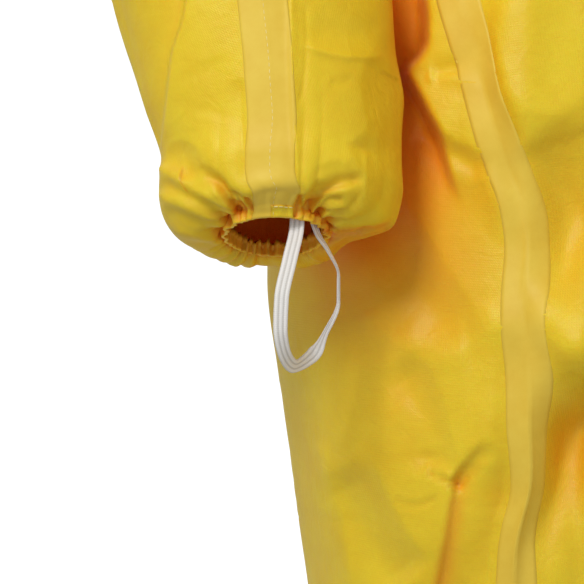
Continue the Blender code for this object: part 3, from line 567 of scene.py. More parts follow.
def small_creases(points, normals, seed, count, strength=1.0, slope=0.5, size=1.0):
    """Short creases scattered over a surface: each a sharp-backed bell of the distance to a line
    that lies along the cloth, mostly upright, as uneven in length, depth and width as folds are."""
    rng = np.random.default_rng(seed)
    flat, facing = points.reshape(-1, 3), normals.reshape(-1, 3)
    total = np.zeros(len(flat))
    for _ in range(count):
        at = rng.integers(len(flat))
        tilt = rng.normal(0.0, slope)
        lie = np.cross(facing[at], (0.0, 0.0, 1.0))
        lie = lie / max(np.linalg.norm(lie), 1e-6)
        run = np.array((0.0, 0.0, 1.0)) * math.cos(tilt) + lie * math.sin(tilt)
        run = run - facing[at] * (run @ facing[at])
        run = run / max(np.linalg.norm(run), 1e-6) * rng.uniform(0.015, 0.070) * size
        width = rng.uniform(0.003, 0.010) * size
        depth = rng.choice((-1.0, 1.0)) * rng.uniform(0.08, 0.20) * width * strength
        start = flat[at] - run / 2
        t = np.clip((flat - start) @ run / (run @ run), 0.0, 1.0)
        distance = np.linalg.norm(flat - start - t[:, None] * run, axis=-1)
        total += depth * np.exp(-np.sqrt((distance / width) ** 2 + 0.05) * 1.6)
    total = total.reshape(points.shape[:-1])
    return total * (1 - 0.85 * seen(points, normals)) * (1 - 0.6 * in_frame(points))


def lengths(grid, axis):
    """Distance travelled along an axis of a grid of points."""
    steps = np.linalg.norm(np.diff(grid, axis=axis), axis=-1)
    pad = [(0, 0), (0, 0)]
    pad[axis] = (1, 0)
    return np.pad(np.cumsum(steps, axis=axis), pad)


def mirrored(points, mirror):
    """Points as they are, or carried to the other side of the middle plane."""
    return points * (-1.0, 1.0, 1.0) if mirror else points


def grid_faces(number):
    """Four-sided faces between the neighbours in a grid of vertex numbers."""
    return np.stack((number[:-1, :-1], number[:-1, 1:], number[1:, 1:], number[1:, :-1]),
                    axis=-1).reshape(-1, 4)


def facing_out(points, faces, some_faces=None, some_points=None):
    """Four-sided faces, all turned over where the first ones look inwards: there the sum of each
    face's way out from the middle of the first points times its normal is below zero."""
    corners = points[faces[:some_faces]]
    crossed = np.cross(corners[:, 2] - corners[:, 0], corners[:, 3] - corners[:, 1])
    way_out = corners.mean(axis=1) - points[:some_points].mean(axis=0)
    return faces[:, ::-1] if np.einsum("ij,ij->", way_out, crossed) < 0 else faces


def shell(name, outside, normals, thick, material, mirror=False, plain=None):
    """A closed thin shell: the outside grid, a second grid moved in along the normals, and
    strips round the border.  UVs are distances in metres across and along the cloth."""
    rows, cols = outside.shape[:2]
    inside = outside - normals * np.broadcast_to(thick, (rows, cols))[..., None]
    points = mirrored(np.concatenate((outside.reshape(-1, 3), inside.reshape(-1, 3))), mirror)
    number = np.arange(rows * cols).reshape(rows, cols)
    skin = grid_faces(number)
    edge = np.concatenate((number[0, :], number[1:, -1], number[-1, -2::-1], number[-2:0:-1, 0]))
    after = np.roll(edge, -1)
    total = rows * cols
    rim = np.stack((edge, edge + total, after + total, after), axis=-1)
    faces = facing_out(points, np.concatenate((skin, skin[:, ::-1] + total, rim)))
    plain = outside if plain is None else plain
    across = np.tile((lengths(plain, 1) - lengths(plain, 1)[:, -1:] / 2).ravel(), 2)
    along = np.tile(lengths(plain, 0).ravel(), 2)
    made = grid_object(name, points, faces, material, len(rim))
    layer = made.data.uv_layers.new(name="cloth")
    uv = np.stack((across, along), axis=-1)[faces.ravel()]
    layer.data.foreach_set("uv", uv.ravel().astype(np.float32))
    return made


def mark_painted_light(made, painted_light_level):
    """Give both faces of a shell the painted light level that its fabric reads: painted shade below
    zero, painted light above.
    """
    heights = made.data.attributes.new("painted_light_level", "FLOAT", "POINT")
    heights.data.foreach_set("value", np.tile(painted_light_level.ravel(), 2).astype(np.float32))


def grid_object(name, points, faces, material, flat=0):
    """A smooth mesh object of four-sided faces, the last of them flat."""
    mesh = bpy.data.meshes.new(name)
    mesh.vertices.add(len(points))
    mesh.vertices.foreach_set("co", points.ravel().astype(np.float32))
    mesh.loops.add(faces.size)
    mesh.loops.foreach_set("vertex_index", faces.ravel().astype(np.int32))
    mesh.polygons.add(len(faces))
    mesh.polygons.foreach_set("loop_start", np.arange(0, faces.size, 4, dtype=np.int32))
    mesh.polygons.foreach_set("use_smooth", np.arange(len(faces)) < len(faces) - flat)
    mesh.materials.append(material)
    mesh.update(calc_edges=True)
    mesh.validate()
    made = bpy.data.objects.new(name, mesh)
    bpy.context.scene.collection.objects.link(made)
    return made


def linear(code):
    """sRGB hex to a linear RGBA tuple."""
    parts = [int(code[i:i + 2], 16) / 255 for i in (1, 3, 5)]
    return (*[c / 12.92 if c <= 0.04045 else ((c + 0.055) / 1.055) ** 2.4 for c in parts], 1.0)


def feed(tree, made, **inputs):
    """Give a node's inputs, by name or as i and a number, a value or a node's (first) output."""
    for name, value in inputs.items():
        key = int(name[1:]) if name[0] == "i" and name[1:].isdigit() else name.replace("_", " ")
        value = value.outputs[0] if isinstance(value, bpy.types.Node) else value
        if isinstance(value, bpy.types.NodeSocket):
            tree.links.new(value, made.inputs[key])
        else:
            made.inputs[key].default_value = value


def node(tree, kind, settings=None, stops=(), **inputs):
    """One node with its settings, the stops of its colour ramp and its inputs."""
    made = tree.nodes.new("ShaderNode" + kind)
    for name, value in (settings or {}).items():
        setattr(made, name, value)
    for number, (position, code) in enumerate(stops):
        made.color_ramp.elements[number].position = position
        made.color_ramp.elements[number].color = linear(code)
    feed(tree, made, **inputs)
    return made


def material(name, colour, roughness, **inputs):
    """A node material with its Principled shader and what it changes of the shader's inputs."""
    made = bpy.data.materials.new(name)
    made.use_nodes = True
    made.diffuse_color = linear(colour)
    shader = made.node_tree.nodes["Principled BSDF"]
    feed(made.node_tree, shader, Base_Color=linear(colour), Roughness=roughness, **inputs)
    return made, made.node_tree, shader


def cloth_turns(tree, across_mm, along_mm):
    """Angles that turn once over each spacing across and along the cloth."""
    cloth = node(tree, "UVMap", {"uv_map": "cloth"})
    in_mm = node(tree, "Mapping", Vector=cloth, Scale=(1000.0, 1000.0, 1000.0))
    axes = node(tree, "SeparateXYZ", Vector=in_mm)
    return [node(tree, "Math", {"operation": "MULTIPLY"}, i0=axes.outputs[axis],
                 i1=2 * math.pi / spacing) for axis, spacing in enumerate((across_mm, along_mm))]


def laminated_nonwoven(name, light, mid, dark, deep):
    """Polyethylene film laminated on spunbond: a satin yellow film with a 1 mm embossed grid,
    faint mottling, and a fine crumple that breaks the light into small facets.  Thin cloth lets
    some light through.  The orange in folds is painted shade: the colour is mixed towards the
    deep orange where ambient occlusion finds the cloth hemmed in, and by the attribute
    "painted_light_level": painted light above zero, where a layer lies above its neighbour (1),
    and painted shade below zero, where it lies under it (-1)."""
    made, tree, shader = material(
        name, mid, 0.44, Specular_IOR_Level=0.28, Subsurface_Weight=0.22,
        Subsurface_Radius=(1.0, 0.42, 0.06), Subsurface_Scale=2.5 * MM)
    place = node(tree, "TexCoord").outputs["Object"]
    ribs = [node(tree, "Math", {"operation": "SINE"}, i0=turns)
            for turns in cloth_turns(tree, 1.1, 1.1)]
    grid = node(tree, "Math", {"operation": "MAXIMUM"}, i0=ribs[0], i1=ribs[1])
    cloud = node(tree, "TexNoise", Vector=place, Scale=38.0, Detail=5.0, Roughness=0.62)
    speck = node(tree, "TexNoise", Vector=place, Scale=900.0, Detail=2.0, Roughness=0.6)
    blend = node(tree, "Math", {"operation": "MULTIPLY_ADD"}, i0=speck, i1=0.22, i2=cloud)
    ramp = node(tree, "ValToRGB", stops=((0.42, dark), (0.80, light)), Fac=blend)
    # Painted shade: ambient occlusion plus the painted light level mixes the colour towards the deep
    # orange.
    hollow = node(tree, "AmbientOcclusion", {"samples": 6}, Distance=0.140)
    painted_light_level = node(tree, "Attribute", {"attribute_name": "painted_light_level"})
    painted_openness = node(tree, "Math", {"operation": "MULTIPLY_ADD"}, i0=painted_light_level.outputs["Fac"], i1=0.45,
                  i2=hollow.outputs["AO"])
    painted_light_mix = node(tree, "MapRange", Value=painted_openness, From_Min=0.20, From_Max=0.96)
    mottle_with_painted_shade = node(tree, "Mix", {"data_type": "RGBA"}, Factor=painted_light_mix, i6=linear(deep), i7=ramp)
    crumple = node(tree, "TexNoise", Vector=place, Scale=120.0, Detail=3.0, Roughness=0.5,
                   Distortion=0.8)
    soft = node(tree, "Bump", Strength=0.5, Distance=0.9 * MM, Height=crumple)
    emboss = node(tree, "Bump", Strength=0.45, Distance=0.06 * MM, Height=grid, Normal=soft)
    feed(tree, shader, Base_Color=mottle_with_painted_shade.outputs[2], Normal=emboss)
    return made


def seam_film(name, light, dark):
    """Heat-sealed translucent film over a seam: paler and more matt than the cloth, and cloudy
    where it took the heat."""
    made, tree, shader = material(name, light, 0.52, Specular_IOR_Level=0.3)
    place = node(tree, "TexCoord").outputs["Object"]
    cloud = node(tree, "TexNoise", Vector=place, Scale=60.0, Detail=4.0, Roughness=0.6)
    ramp = node(tree, "ValToRGB", stops=((0.35, dark), (0.70, light)), Fac=cloud)
    pucker = node(tree, "TexNoise", Vector=place, Scale=210.0, Detail=3.0, Roughness=0.55)
    bump = node(tree, "Bump", Strength=0.4, Distance=0.25 * MM, Height=pucker)
    feed(tree, shader, Base_Color=ramp, Normal=bump)
    return made


def woven_band(name, light, dark, rib_mm, thread_mm):
    """Woven flat band, matt: a dark line between its lengthwise ribs, and fainter threads
    across it."""
    made, tree, shader = material(name, light, 0.8)
    waves = [node(tree, "Math", {"operation": "COSINE"}, i0=turns)
             for turns in cloth_turns(tree, rib_mm, thread_mm)]
    blend = node(tree, "Math", {"operation": "MULTIPLY_ADD"}, i0=waves[1], i1=0.12, i2=waves[0])
    share = node(tree, "MapRange", Value=blend, From_Min=-1.0, From_Max=0.2)
    ramp = node(tree, "ValToRGB", stops=((0.0, dark), (1.0, light)), Fac=share)
    bump = node(tree, "Bump", Strength=0.5, Distance=0.08 * MM, Height=waves[1])
    feed(tree, shader, Base_Color=ramp, Normal=bump)
    return made


def sewing_thread(name):
    """Polyester thread: pale yellow, slightly glossy, twisted every 0.4 mm."""
    made, tree, shader = material(name, "#EBD98A", 0.5)
    place = node(tree, "TexCoord").outputs["Object"]
    twist = node(tree, "TexNoise", Vector=place, Scale=1500.0, Detail=2.0)
    ramp = node(tree, "ValToRGB", stops=((0.0, "#D9C470"), (1.0, "#F4E8B0")), Fac=twist)
    feed(tree, shader, Base_Color=ramp)
    return made


def pleats(u, seed, count):
    """Gathers side by side with uneven widths: |sin|^0.8 over each, with its own strength and
    reach up the cloth.  Places u run from 0 to 1 and every gather starts and ends at zero."""
    rng = np.random.default_rng(seed)
    edges = np.concatenate(([0.0], np.cumsum(rng.uniform(0.55, 1.5, count))))
    edges /= edges[-1]
    i = np.clip(np.searchsorted(edges, u, side="right") - 1, 0, count - 1)
    share = (u - edges[i]) / (edges[i + 1] - edges[i])
    strength = rng.uniform(0.45, 1.35, count)[i]
    reach = (rng.uniform(3.5, 11.0, count) + 9.0 * (rng.uniform(size=count) < 0.2))[i] * MM
    return np.abs(np.sin(math.pi * share)) ** 0.8, strength, reach


def gathered(u, from_hem, seed, count, depth, casing, flat=1.0):
    """Gathers drawn in by elastic: full at the casing's stitching, half at the hem, and fading
    up the cloth, each gather over its own reach."""
    profile, strength, reach = pleats(u, seed, count)
    above = np.maximum(from_hem - casing, 0.0)
    below = np.clip(from_hem / casing, 0.0, 1.0) * 0.5 + 0.5
    risen = 2 * strength * profile * np.exp(-above / reach) - np.exp(-above / (8 * MM))
    stitched = 0.35 * np.exp(-((from_hem - casing) / (0.9 * MM)) ** 2)
    return depth * flat * below * (risen - stitched)


def arm(cols, rows, seed, count, placed):
    """Right sleeve: rings along its front, closer below the elbow and at the cuff, and points
    round each ring from the seam back to the seam.  placed is the share that the listed creases
    keep."""
    fine = np.linspace(0.0, HEM_RING, 600)
    front = sleeve(np.full_like(fine, 90.0), fine)
    steps = np.linalg.norm(np.diff(front, axis=0), axis=-1)
    steps = steps * np.where(fine[1:] > ELBOW_RING, FOREARM_CLOSER, 1.0)
    steps = steps * np.where(fine[1:] > CUFF_RING, CUFF_CLOSER, 1.0)
    travelled = np.concatenate(([0.0], np.cumsum(steps)))
    ring = np.interp(np.linspace(0.0, travelled[-1], rows), travelled, fine)
    u = np.linspace(0.0, 1.0, cols)
    u = u - CLOSER * np.sin(2 * math.pi * u) / (2 * math.pi)
    u, ring = np.meshgrid(u, ring)
    way = glide(np.arange(len(SLEEVE["turn"]), dtype=float), SLEEVE["turn"], ring) + 360.0 * u
    base, normal = sleeve(way, ring), sleeve_normal(way, ring)
    body = section_normal(BODY, *armhole(way))
    normal = unit(normal + body * np.clip(1.0 - ring / 0.6, 0.0, 1.0)[..., None])
    travelled = lengths(base, 0)
    from_hem = travelled[-1] - travelled
    row_length = lengths(base, 1)
    to_seam = np.minimum(row_length, row_length[:, -1:] - row_length)
    out = folds(base) + picture_creases(SLEEVE_CREASES, base, normal) * placed
    out += small_creases(base, normal, seed, count) * np.clip(ring / 1.5, 0.0, 1.0)
    out += small_creases(base, normal, seed + 5, 34, 2.0, 0.6, 2.2) * np.clip(ring / 1.5, 0.0, 1.0)
    calm = 0.30 + 0.70 * np.clip((to_seam - 9 * MM) / (6 * MM), 0.0, 1.0)
    out = out * np.clip(ring / 0.8, 0.0, 1.0)
    out += gathered(u, from_hem, seed + 1, 31, 2.0 * MM, 5.5 * MM, calm)
    forth = steps_back(SLEEVE_LAYERS, base, normal) - turned_planes(SLEEVE_TURNS, base, normal)
    forth += full_front(base, normal)
    loose = np.clip(from_hem / (4 * MM), 0.0, 1.0)
    up = drawn_up(base, from_hem)
    # Painted shade on the rear hem's lobe: where the front hem's edge sinks, the colour is pushed to
    # orange.
    under = {"front hem over rear hem": SLEEVE_LAYERS["front hem over rear hem"]}
    painted_light_level = steps_back(under, base, normal) / (7 * MM) * placed
    return {"base": base, "normal": normal, "hem": from_hem, "painted_light_level": painted_light_level,
            "points": base + normal * out[..., None] - AHEAD * (forth * loose * placed)[..., None]
            + UPWARD * up[..., None]}


def first_angle(height):
    """Angle where a section leaves the middle plane: -asin(share^(power/2)), -90 on the legs."""
    outer = glide(BODY["height"], BODY["outer"], height)
    centre = (outer + glide(BODY["height"], BODY["inner"], height)) / 2
    power = glide(BODY["height"], BODY["power"], height)
    share = np.clip(centre / (outer - centre), 0.0, 1.0)
    return np.where(height <= CROTCH, -90.0, -np.degrees(np.arcsin(share ** (power / 2))))


def body_heights(dense):
    """Rows from ankle to neck, closest over the hip and at the gathered ankle."""
    ways = np.radians(np.linspace(0.0, 180.0, 34))
    hole = UNDERARM + (SHOULDER_TIP - UNDERARM) * (1 - np.cos(ways)) / 2
    return np.concatenate((
        np.linspace(ANKLE_HEM, -1.35, 34)[:-1], np.linspace(-1.35, -0.78, 96)[:-1],
        np.linspace(-0.78, -0.46, dense)[:-1], np.linspace(-0.46, UNDERARM, 46)[:-1], hole,
        np.linspace(SHOULDER_TIP, NECKLINE, 14)[1:]))


def spread(share, spacing):
    """Where a panel's columns lie between its two edges: even, closer at the first edge, or
    closest at the first edge, where the camera looks."""
    if spacing == "closest":
        return glide(np.array((0.0, 0.6, 0.75, 1.0)), np.array((0.0, 0.185, 0.38, 1.0)), share)
    return 0.7 * share + 0.3 * share**2 if spacing == "closer" else share


def panel(back, cols, dense, seed, count, placed, spacing):
    """Right front from the middle to the side seam or armhole, or right back from there to the
    middle, as level sections."""
    height = body_heights(dense)
    first = first_angle(height)
    side = np.where(height >= UNDERARM, 90.0, glide(SIDE["height"], SIDE["angle"], height))
    cosine = np.clip(1 - 2 * (height - UNDERARM) / (SHOULDER_TIP - UNDERARM), -1.0, 1.0)
    way = np.degrees(np.arccos(cosine))
    cut = armhole(360.0 - way if back else way)[0]
    edge = np.where((height > UNDERARM) & (height < SHOULDER_TIP), cut, side)
    start, end = (edge, 180.0 - first) if back else (first, edge)
    share = spread(np.linspace(0.0, 1.0, cols), spacing)
    angle = start[:, None] + (end - start)[:, None] * share
    level = np.broadcast_to(height[:, None], angle.shape)
    base, normal = section(BODY, angle, level), section_normal(BODY, angle, level)
    middle = -1 if back else 0
    above = height >= CROTCH
    base[above, middle, 0] = 0.0
    normal[above, middle, 0] = 0.0
    near_neck = np.clip(1 - (NECKLINE - level) / (12 * MM), 0.0, 1.0)[..., None]
    normal = unit(normal + section_normal(HOOD, angle, np.full_like(angle, NECKLINE)) * near_neck)
    row_length = lengths(base, 1)
    to_edge = np.minimum(row_length, row_length[:, -1:] - row_length)
    out = folds(base) + picture_creases(HIP_CREASES, base, normal) * placed
    out += small_creases(base, normal, seed, count)
    out += small_creases(base, normal, seed + 5, 64, 2.0, 0.7, 2.6)
    out *= np.clip(to_edge / (14 * MM), 0.0, 1.0) ** 0.7 * 0.88 + 0.12
    if back:
        wave, strength, _ = pleats(share, seed + 2, 13)
        waist = np.exp(-np.abs((level - WAIST) / 0.030) ** 1.6)
        out += 4.2 * MM * (wave * strength * 1.6 - 0.7) * waist
    out[above, middle] *= 0.0
    calm = 0.30 + 0.70 * np.clip((to_edge - 9 * MM) / (6 * MM), 0.0, 1.0)
    from_hem = level - ANKLE_HEM
    near_hem = np.exp(-np.maximum(from_hem - 0.09, 0.0) / 0.02)
    out += gathered(share[None, :], from_hem, seed + 1, 19, 2.4 * MM, 9 * MM, calm) * near_hem
    stepped = steps_back(HIP_LAYERS, base, normal)
    forth = stepped - turned_planes(HIP_TURNS, base, normal)
    forth *= placed * np.clip(-base[..., 0] / 0.03, 0.0, 1.0)
    # Painted light and shade: lighter where the upper layer stands forward, orange shade where cloth
    # sinks behind it and along the painted shade curves.
    painted_light_level = (stepped / (13 * MM) - painted_shade_bells(base, normal)) * placed
    return {"base": base, "normal": normal, "painted_light_level": np.clip(painted_light_level, -1.0, 1.0),
            "points": base + normal * out[..., None] - AHEAD * forth[..., None]}


def hood(cols, rows, seed, count):
    """Right half of the hood: sections from the face edge round to the middle of the back."""
    height = np.unique(np.concatenate((
        np.linspace(NECKLINE, HOOD_TOP, rows), np.linspace(CHIN - 0.004, 0.075, 22),
        np.linspace(0.232, 0.250, 16), np.linspace(0.292, HOOD_TOP, 14))))
    face = glide(FACE["height"], FACE["angle"], height)
    share = np.linspace(0.0, 1.0, cols)
    angle = face[:, None] + (180.0 - face)[:, None] * share
    level = np.broadcast_to(height[:, None], angle.shape)
    base, normal = section(HOOD, angle, level), section_normal(HOOD, angle, level)
    zero = np.zeros_like(base[..., 0])
    rise = unit(np.stack((zero, base[..., 1] - 0.003, zero + 0.11), axis=-1))
    crest = np.clip((level - 0.300) / (HOOD_TOP - 0.300), 0.0, 1.0)[..., None]
    normal = unit(normal * (1 - crest) + rise * crest)
    near_neck = np.clip(1 - (level - NECKLINE) / (12 * MM), 0.0, 1.0)[..., None]
    normal = unit(normal + section_normal(BODY, angle, np.full_like(angle, NECKLINE)) * near_neck)
    on_middle = np.abs(base[..., 0]) < 1e-6
    row_length = lengths(base, 1)
    out = small_creases(base, normal, seed, count, 1.2)
    out += small_creases(base, normal, seed + 5, 26, 1.7, 0.8, 2.0)
    out *= np.clip(np.minimum(row_length[:, -1:] - row_length, (HOOD_TOP - level) * 2.0)
                   / (20 * MM), 0.0, 1.0)
    along_edge = lengths(base, 0)[:, :1] / lengths(base, 0)[-1, 0]
    open_face = (np.clip((level - CHIN) / 0.02, 0.0, 1.0)
                 * np.clip((FOREHEAD - level) / 0.02, 0.0, 1.0))
    out += gathered(along_edge, row_length, seed + 1, 34, 1.9 * MM, 8 * MM) * open_face
    out[on_middle] = 0.0
    points = base + normal * out[..., None]
    points[on_middle, 0] = 0.0
    return {"base": base, "normal": normal, "points": points}


def resampled(grid, key, places, from_end):
    """Each row of a grid at given distances from its first column, or from its last."""
    rows = []
    for points, values in zip(grid["points"], grid[key]):
        if from_end:
            points, values = points[::-1], values[::-1]
        steps = np.linalg.norm(np.diff(points, axis=0), axis=-1)
        travelled = np.concatenate(([0.0], np.cumsum(steps)))
        rows.append([np.interp(places, travelled, values[:, k]) for k in range(3)])
    return np.array(rows).transpose(0, 2, 1)


def at_levels(grid, heights, levels):
    """Points and normals of a grid at other heights, read column by column."""
    return {key: np.stack([np.stack([np.interp(levels, heights, column) for column in axis.T],
                                    axis=1) for axis in np.moveaxis(grid[key], -1, 0)], axis=-1)
            for key in ("points", "normal")}


def band(first, first_end, second, second_end, reach, count):
    """A strip over a seam: distances 0 to reach in from the seam on both sides."""
    places = np.linspace(0.0, reach, count)
    strips = []
    for key in ("points", "normal"):
        a = resampled(first, key, places, first_end)[:, ::-1]
        b = resampled(second, key, places, second_end)
        seam = (a[:, -1:] + b[:, :1]) / 2
        strips.append(np.concatenate((a[:, :-1], seam, b[:, 1:]), axis=1))
    return strips[0], unit(strips[1])


def stitches(name, path, facing, pitch, length, radius, finish, mirror=False):
    """A row of stitches: lozenges of six sides, each along the path for its length, narrowing to
    its ends, and half sunk."""
    steps = np.linalg.norm(np.diff(path, axis=0), axis=-1)
    travelled = np.concatenate(([0.0], np.cumsum(steps)))
    at = np.arange(pitch / 2, travelled[-1] - pitch / 2, pitch)
    ends = [np.stack([np.interp(at + s * length / 2, travelled, path[:, k]) for k in range(3)], -1)
            for s in (-1.0, -0.5, 0.5, 1.0)]
    up = unit(np.stack([np.interp(at, travelled, facing[:, k]) for k in range(3)], -1))
    side = unit(np.cross(ends[3] - ends[0], up))
    turn = np.radians(np.arange(6) * 60.0)
    rings = []
    for centre, share in zip(ends, (0.35, 1.0, 1.0, 0.35)):
        arc = (side[:, None] * np.cos(turn)[None, :, None]
               + up[:, None] * np.sin(turn)[None, :, None] * 0.8)
        rings.append(centre[:, None] + arc * radius * share)
    points = mirrored(np.stack(rings, axis=1).reshape(-1, 3), mirror)
    j = np.arange(6)
    k = (j + 1) % 6
    one = [np.stack((r * 6 + j, r * 6 + k, r * 6 + 6 + k, r * 6 + 6 + j), -1) for r in range(3)]
    one += [np.array(((0, 3, 2, 1), (0, 5, 4, 3), (18, 19, 20, 21), (18, 21, 22, 23)))]
    one = np.concatenate(one)
    faces = (one[None] + (np.arange(len(at)) * 24)[:, None, None]).reshape(-1, 4)
    return grid_object(name, points, facing_out(points, faces, len(one), 24), finish)


LOOP = table(
    "x_mm y_mm z_mm wx wy wz",
    (-227.5, -148.5, -586, 1, 0, 0),
    (-228, -150.5, -596, 1, 0, -0.1),
    (-231, -159, -609, 0.98, 0.05, -0.2),
    (-234.5, -166, -625, 0.97, 0.1, -0.15),
    (-235, -167, -638, 0.95, 0.25, 0.05),
    (-233, -162, -650, 0.8, 0.5, 0.3),
    (-228.5, -151, -656, 0.5, 0.55, 0.6),
    (-221.5, -139, -653, 0.2, 0.6, 0.75),
    (-215, -131, -643, -0.05, 0.9, 0.45),
    (-209.5, -129, -630, -0.1, 0.98, 0.2),
    (-209.5, -132, -618, -0.05, 1, 0.1),
    (-214, -136.5, -607, 0.1, 1, 0.05),
    (-219, -140, -598.5, 0.35, 0.95, 0),
    (-221.7, -142, -589.5, 0.5, 0.87, 0),
)


def thumb_loop(name, finish, mirror):
    """Flat elastic as a closed profile carried along the loop: a flat oval whose two faces rise
    and fall over three lengthwise ribs."""
    keys = np.arange(len(LOOP["x"]), dtype=float)
    at = np.linspace(0.0, keys[-1], 150)
    path = np.stack([glide(keys, LOOP[k], at) for k in ("x", "y", "z")], -1)
    width = np.stack([glide(keys, LOOP[k], at) for k in ("wx", "wy", "wz")], -1)
    along = unit(np.gradient(path, axis=0))
    width = unit(width - along * np.sum(width * along, axis=-1, keepdims=True))
    flat = np.cross(along, width)
    turn = np.linspace(0.0, 2 * math.pi, 73)[:-1]
    across = np.sign(np.cos(turn)) * np.abs(np.cos(turn)) ** 0.7
    rib = 0.14 * MM * np.cos(3 * math.pi * across)
    thick = (0.50 * MM + rib) * np.sign(np.sin(turn)) * np.abs(np.sin(turn)) ** 0.45
    points = (path[:, None] + width[:, None] * (across * 3.2 * MM)[None, :, None]
              + flat[:, None] * thick[None, :, None])
    rows, cols = points.shape[:2]
    number = np.arange(rows * cols).reshape(rows, cols)
    faces = grid_faces(np.concatenate((number, number[:, :1]), axis=1))
    half = cols // 2
    left = np.arange(half)
    for row, flip in ((0, 1), (rows - 1, -1)):
        cap = np.stack((number[row][left], number[row][-left % cols],
                        number[row][-(left + 1) % cols], number[row][(left + 1) % cols]), -1)
        faces = np.concatenate((faces, cap[1:half - 1, ::flip]))
    flat_points = mirrored(points.reshape(-1, 3), mirror)
    faces = facing_out(flat_points, faces, cols, cols)
    made = grid_object(name, flat_points, faces, finish)
    steps = np.concatenate(([0.0], np.cumsum(np.linalg.norm(np.diff(path, axis=0), axis=-1))))
    uv = np.stack((np.broadcast_to(across * 3.2 * MM, (rows, cols)),
                   np.broadcast_to(steps[:, None], (rows, cols))), -1).reshape(-1, 2)
    layer = made.data.uv_layers.new(name="cloth")
    layer.data.foreach_set("uv", uv[faces.ravel()].ravel().astype(np.float32))
    return made


def film_rise(cols):
    """How far a tape's outer face stands off the cloth at each column: nearly nothing at its
    edges, its own thickness between, and the seam's ridge in the middle."""
    place = np.arange(cols) - cols // 2
    inner = np.clip(cols // 2 - np.abs(place), 0, 1)
    ridge = 0.22 * MM * np.exp(-(place / 0.8) ** 2)
    return (FILM_EDGE + (TAPE_LIFT + TAPE_SKIN) * inner + ridge)[:, None]


def dress(piece, slot, *nodes):
    """Carry a piece on the one body, and let it stand for its CAD nodes."""
    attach(piece, "root")
    if nodes:
        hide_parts(*nodes)
    return piece


def declare(piece):
    """Return the piece as it is."""
    return piece


# The last colour, #EE911E, is the orange of the painted shade in hollows and along the painted shade
# curves.
fabric = laminated_nonwoven("laminated_nonwoven", "#EDCA28", "#EAC323", "#E6BC1E", "#EE911E")
film = seam_film("seam_film", "#E3C346", "#DDB93B")
elastic = woven_band("flat_elastic", "#E9E6E1", "#C8C4BD", 6.4 / 3, 0.8)
zip_cloth = woven_band("polyester_zip_tape", "#D9B83C", "#A98A2A", 1.6, 0.8)
thread = sewing_thread("sewing_thread")


def cloth_piece(word, side, grid, mirror):
    """One cut piece of the fabric, doubled at the sleeve's hem."""
    doubled = grid["hem"] < HEM_FOLD_REACH if "hem" in grid else 0.0
    made = shell(f"{word}_cloth_{side}", grid["points"], grid["normal"],
                 SKIN + (HEM_FOLD - SKIN) * doubled, fabric, mirror, grid["base"])
    if "painted_light_level" in grid:
        mark_painted_light(made, grid["painted_light_level"])
    dress(made, "coated_fabric", f"{word}_{side}")
    if word == "sleeve":
        declare(made)
    else:
        declare(made)


def sleeve_trim(side, cloth, mirror):
    """Tape and stitches along the sleeve's seam, and the small turned piece at the hem, which
    covers half the tape, with stitches along its top."""
    points, normals = band(cloth, True, cloth, False, TAPE_REACH, 10)
    tape = shell(f"sleeve_seam_{side}", points + normals * film_rise(points.shape[1]), normals,
                 TAPE_SKIN, film, mirror)
    dress(tape, "seam_tape", f"sleeve_tape_{side}")
    seam = points.shape[1] // 2
    line = points[:, seam] + normals[:, seam] * (TAPE_LIFT + TAPE_SKIN + 0.24 * MM)
    dress(stitches(f"sleeve_stitches_{side}", line[10:], normals[10:, seam], 2.9 * MM, 1.9 * MM,
                   0.14 * MM, thread, mirror), "seam_tape")

    travelled = lengths(points, 0)
    first_row = int(np.argmax(travelled[-1, seam] - travelled[:, seam] < HEM_TURN))
    patch = (slice(first_row, None), slice(1, seam + 2))
    points, normals = points[patch], normals[patch]
    lift = TAPE_LIFT + 2.5 * TAPE_SKIN + 0.15 * MM
    dress(shell(f"hem_turn_{side}", points + normals * lift, normals, 0.2 * MM, fabric, mirror),
          "coated_fabric")
    dress(stitches(f"hem_stitches_{side}", points[1] + normals[1] * (lift + 0.05 * MM), normals[1],
                   2.4 * MM, 1.9 * MM, 0.22 * MM, thread, mirror), "coated_fabric")


def leg_tapes(side, cloth, heights, mirror):
    """Tapes along the side seam and the inseam, 3 mm between rows."""
    for word, first, second, top in (("side", "front", "back", UNDERARM),
                                     ("inseam", "back", "front", CROTCH)):
        levels = np.arange(ANKLE_HEM, top, 3.0 * MM)
        strips = [at_levels(cloth[name], heights[name], levels) for name in (first, second)]
        points, normals = band(strips[0], True, strips[1], False, TAPE_REACH, 7)
        made = shell(f"{word}_seam_{side}", points + normals * film_rise(points.shape[1]), normals,
                     TAPE_SKIN, film, mirror)
        dress(made, "seam_tape", f"{word}_tape_{side}")


def middle_band(name, cad, slot, finish, grid, heights, from_end, reach, count, low, lift, thick,
                step=3.0 * MM):
    """A strip over the middle seam up to the neckline, mirrored across the middle plane."""
    strip = at_levels(grid, heights, np.arange(low, NECKLINE, step))
    places = np.linspace(0.0, reach, count)
    flip = np.array((-1.0, 1.0, 1.0))
    halves = []
    for key in ("points", "normal"):
        half = resampled(strip, key, places, from_end)[:, ::-1]
        half[:, -1, 0] = 0.0
        halves.append(np.concatenate((half, half[:, -2::-1] * flip), axis=1))
    points, normals = halves[0], unit(halves[1])
    made = shell(name, points + normals * (lift + thick), normals, thick, finish)
    return dress(made, slot, cad), points, normals


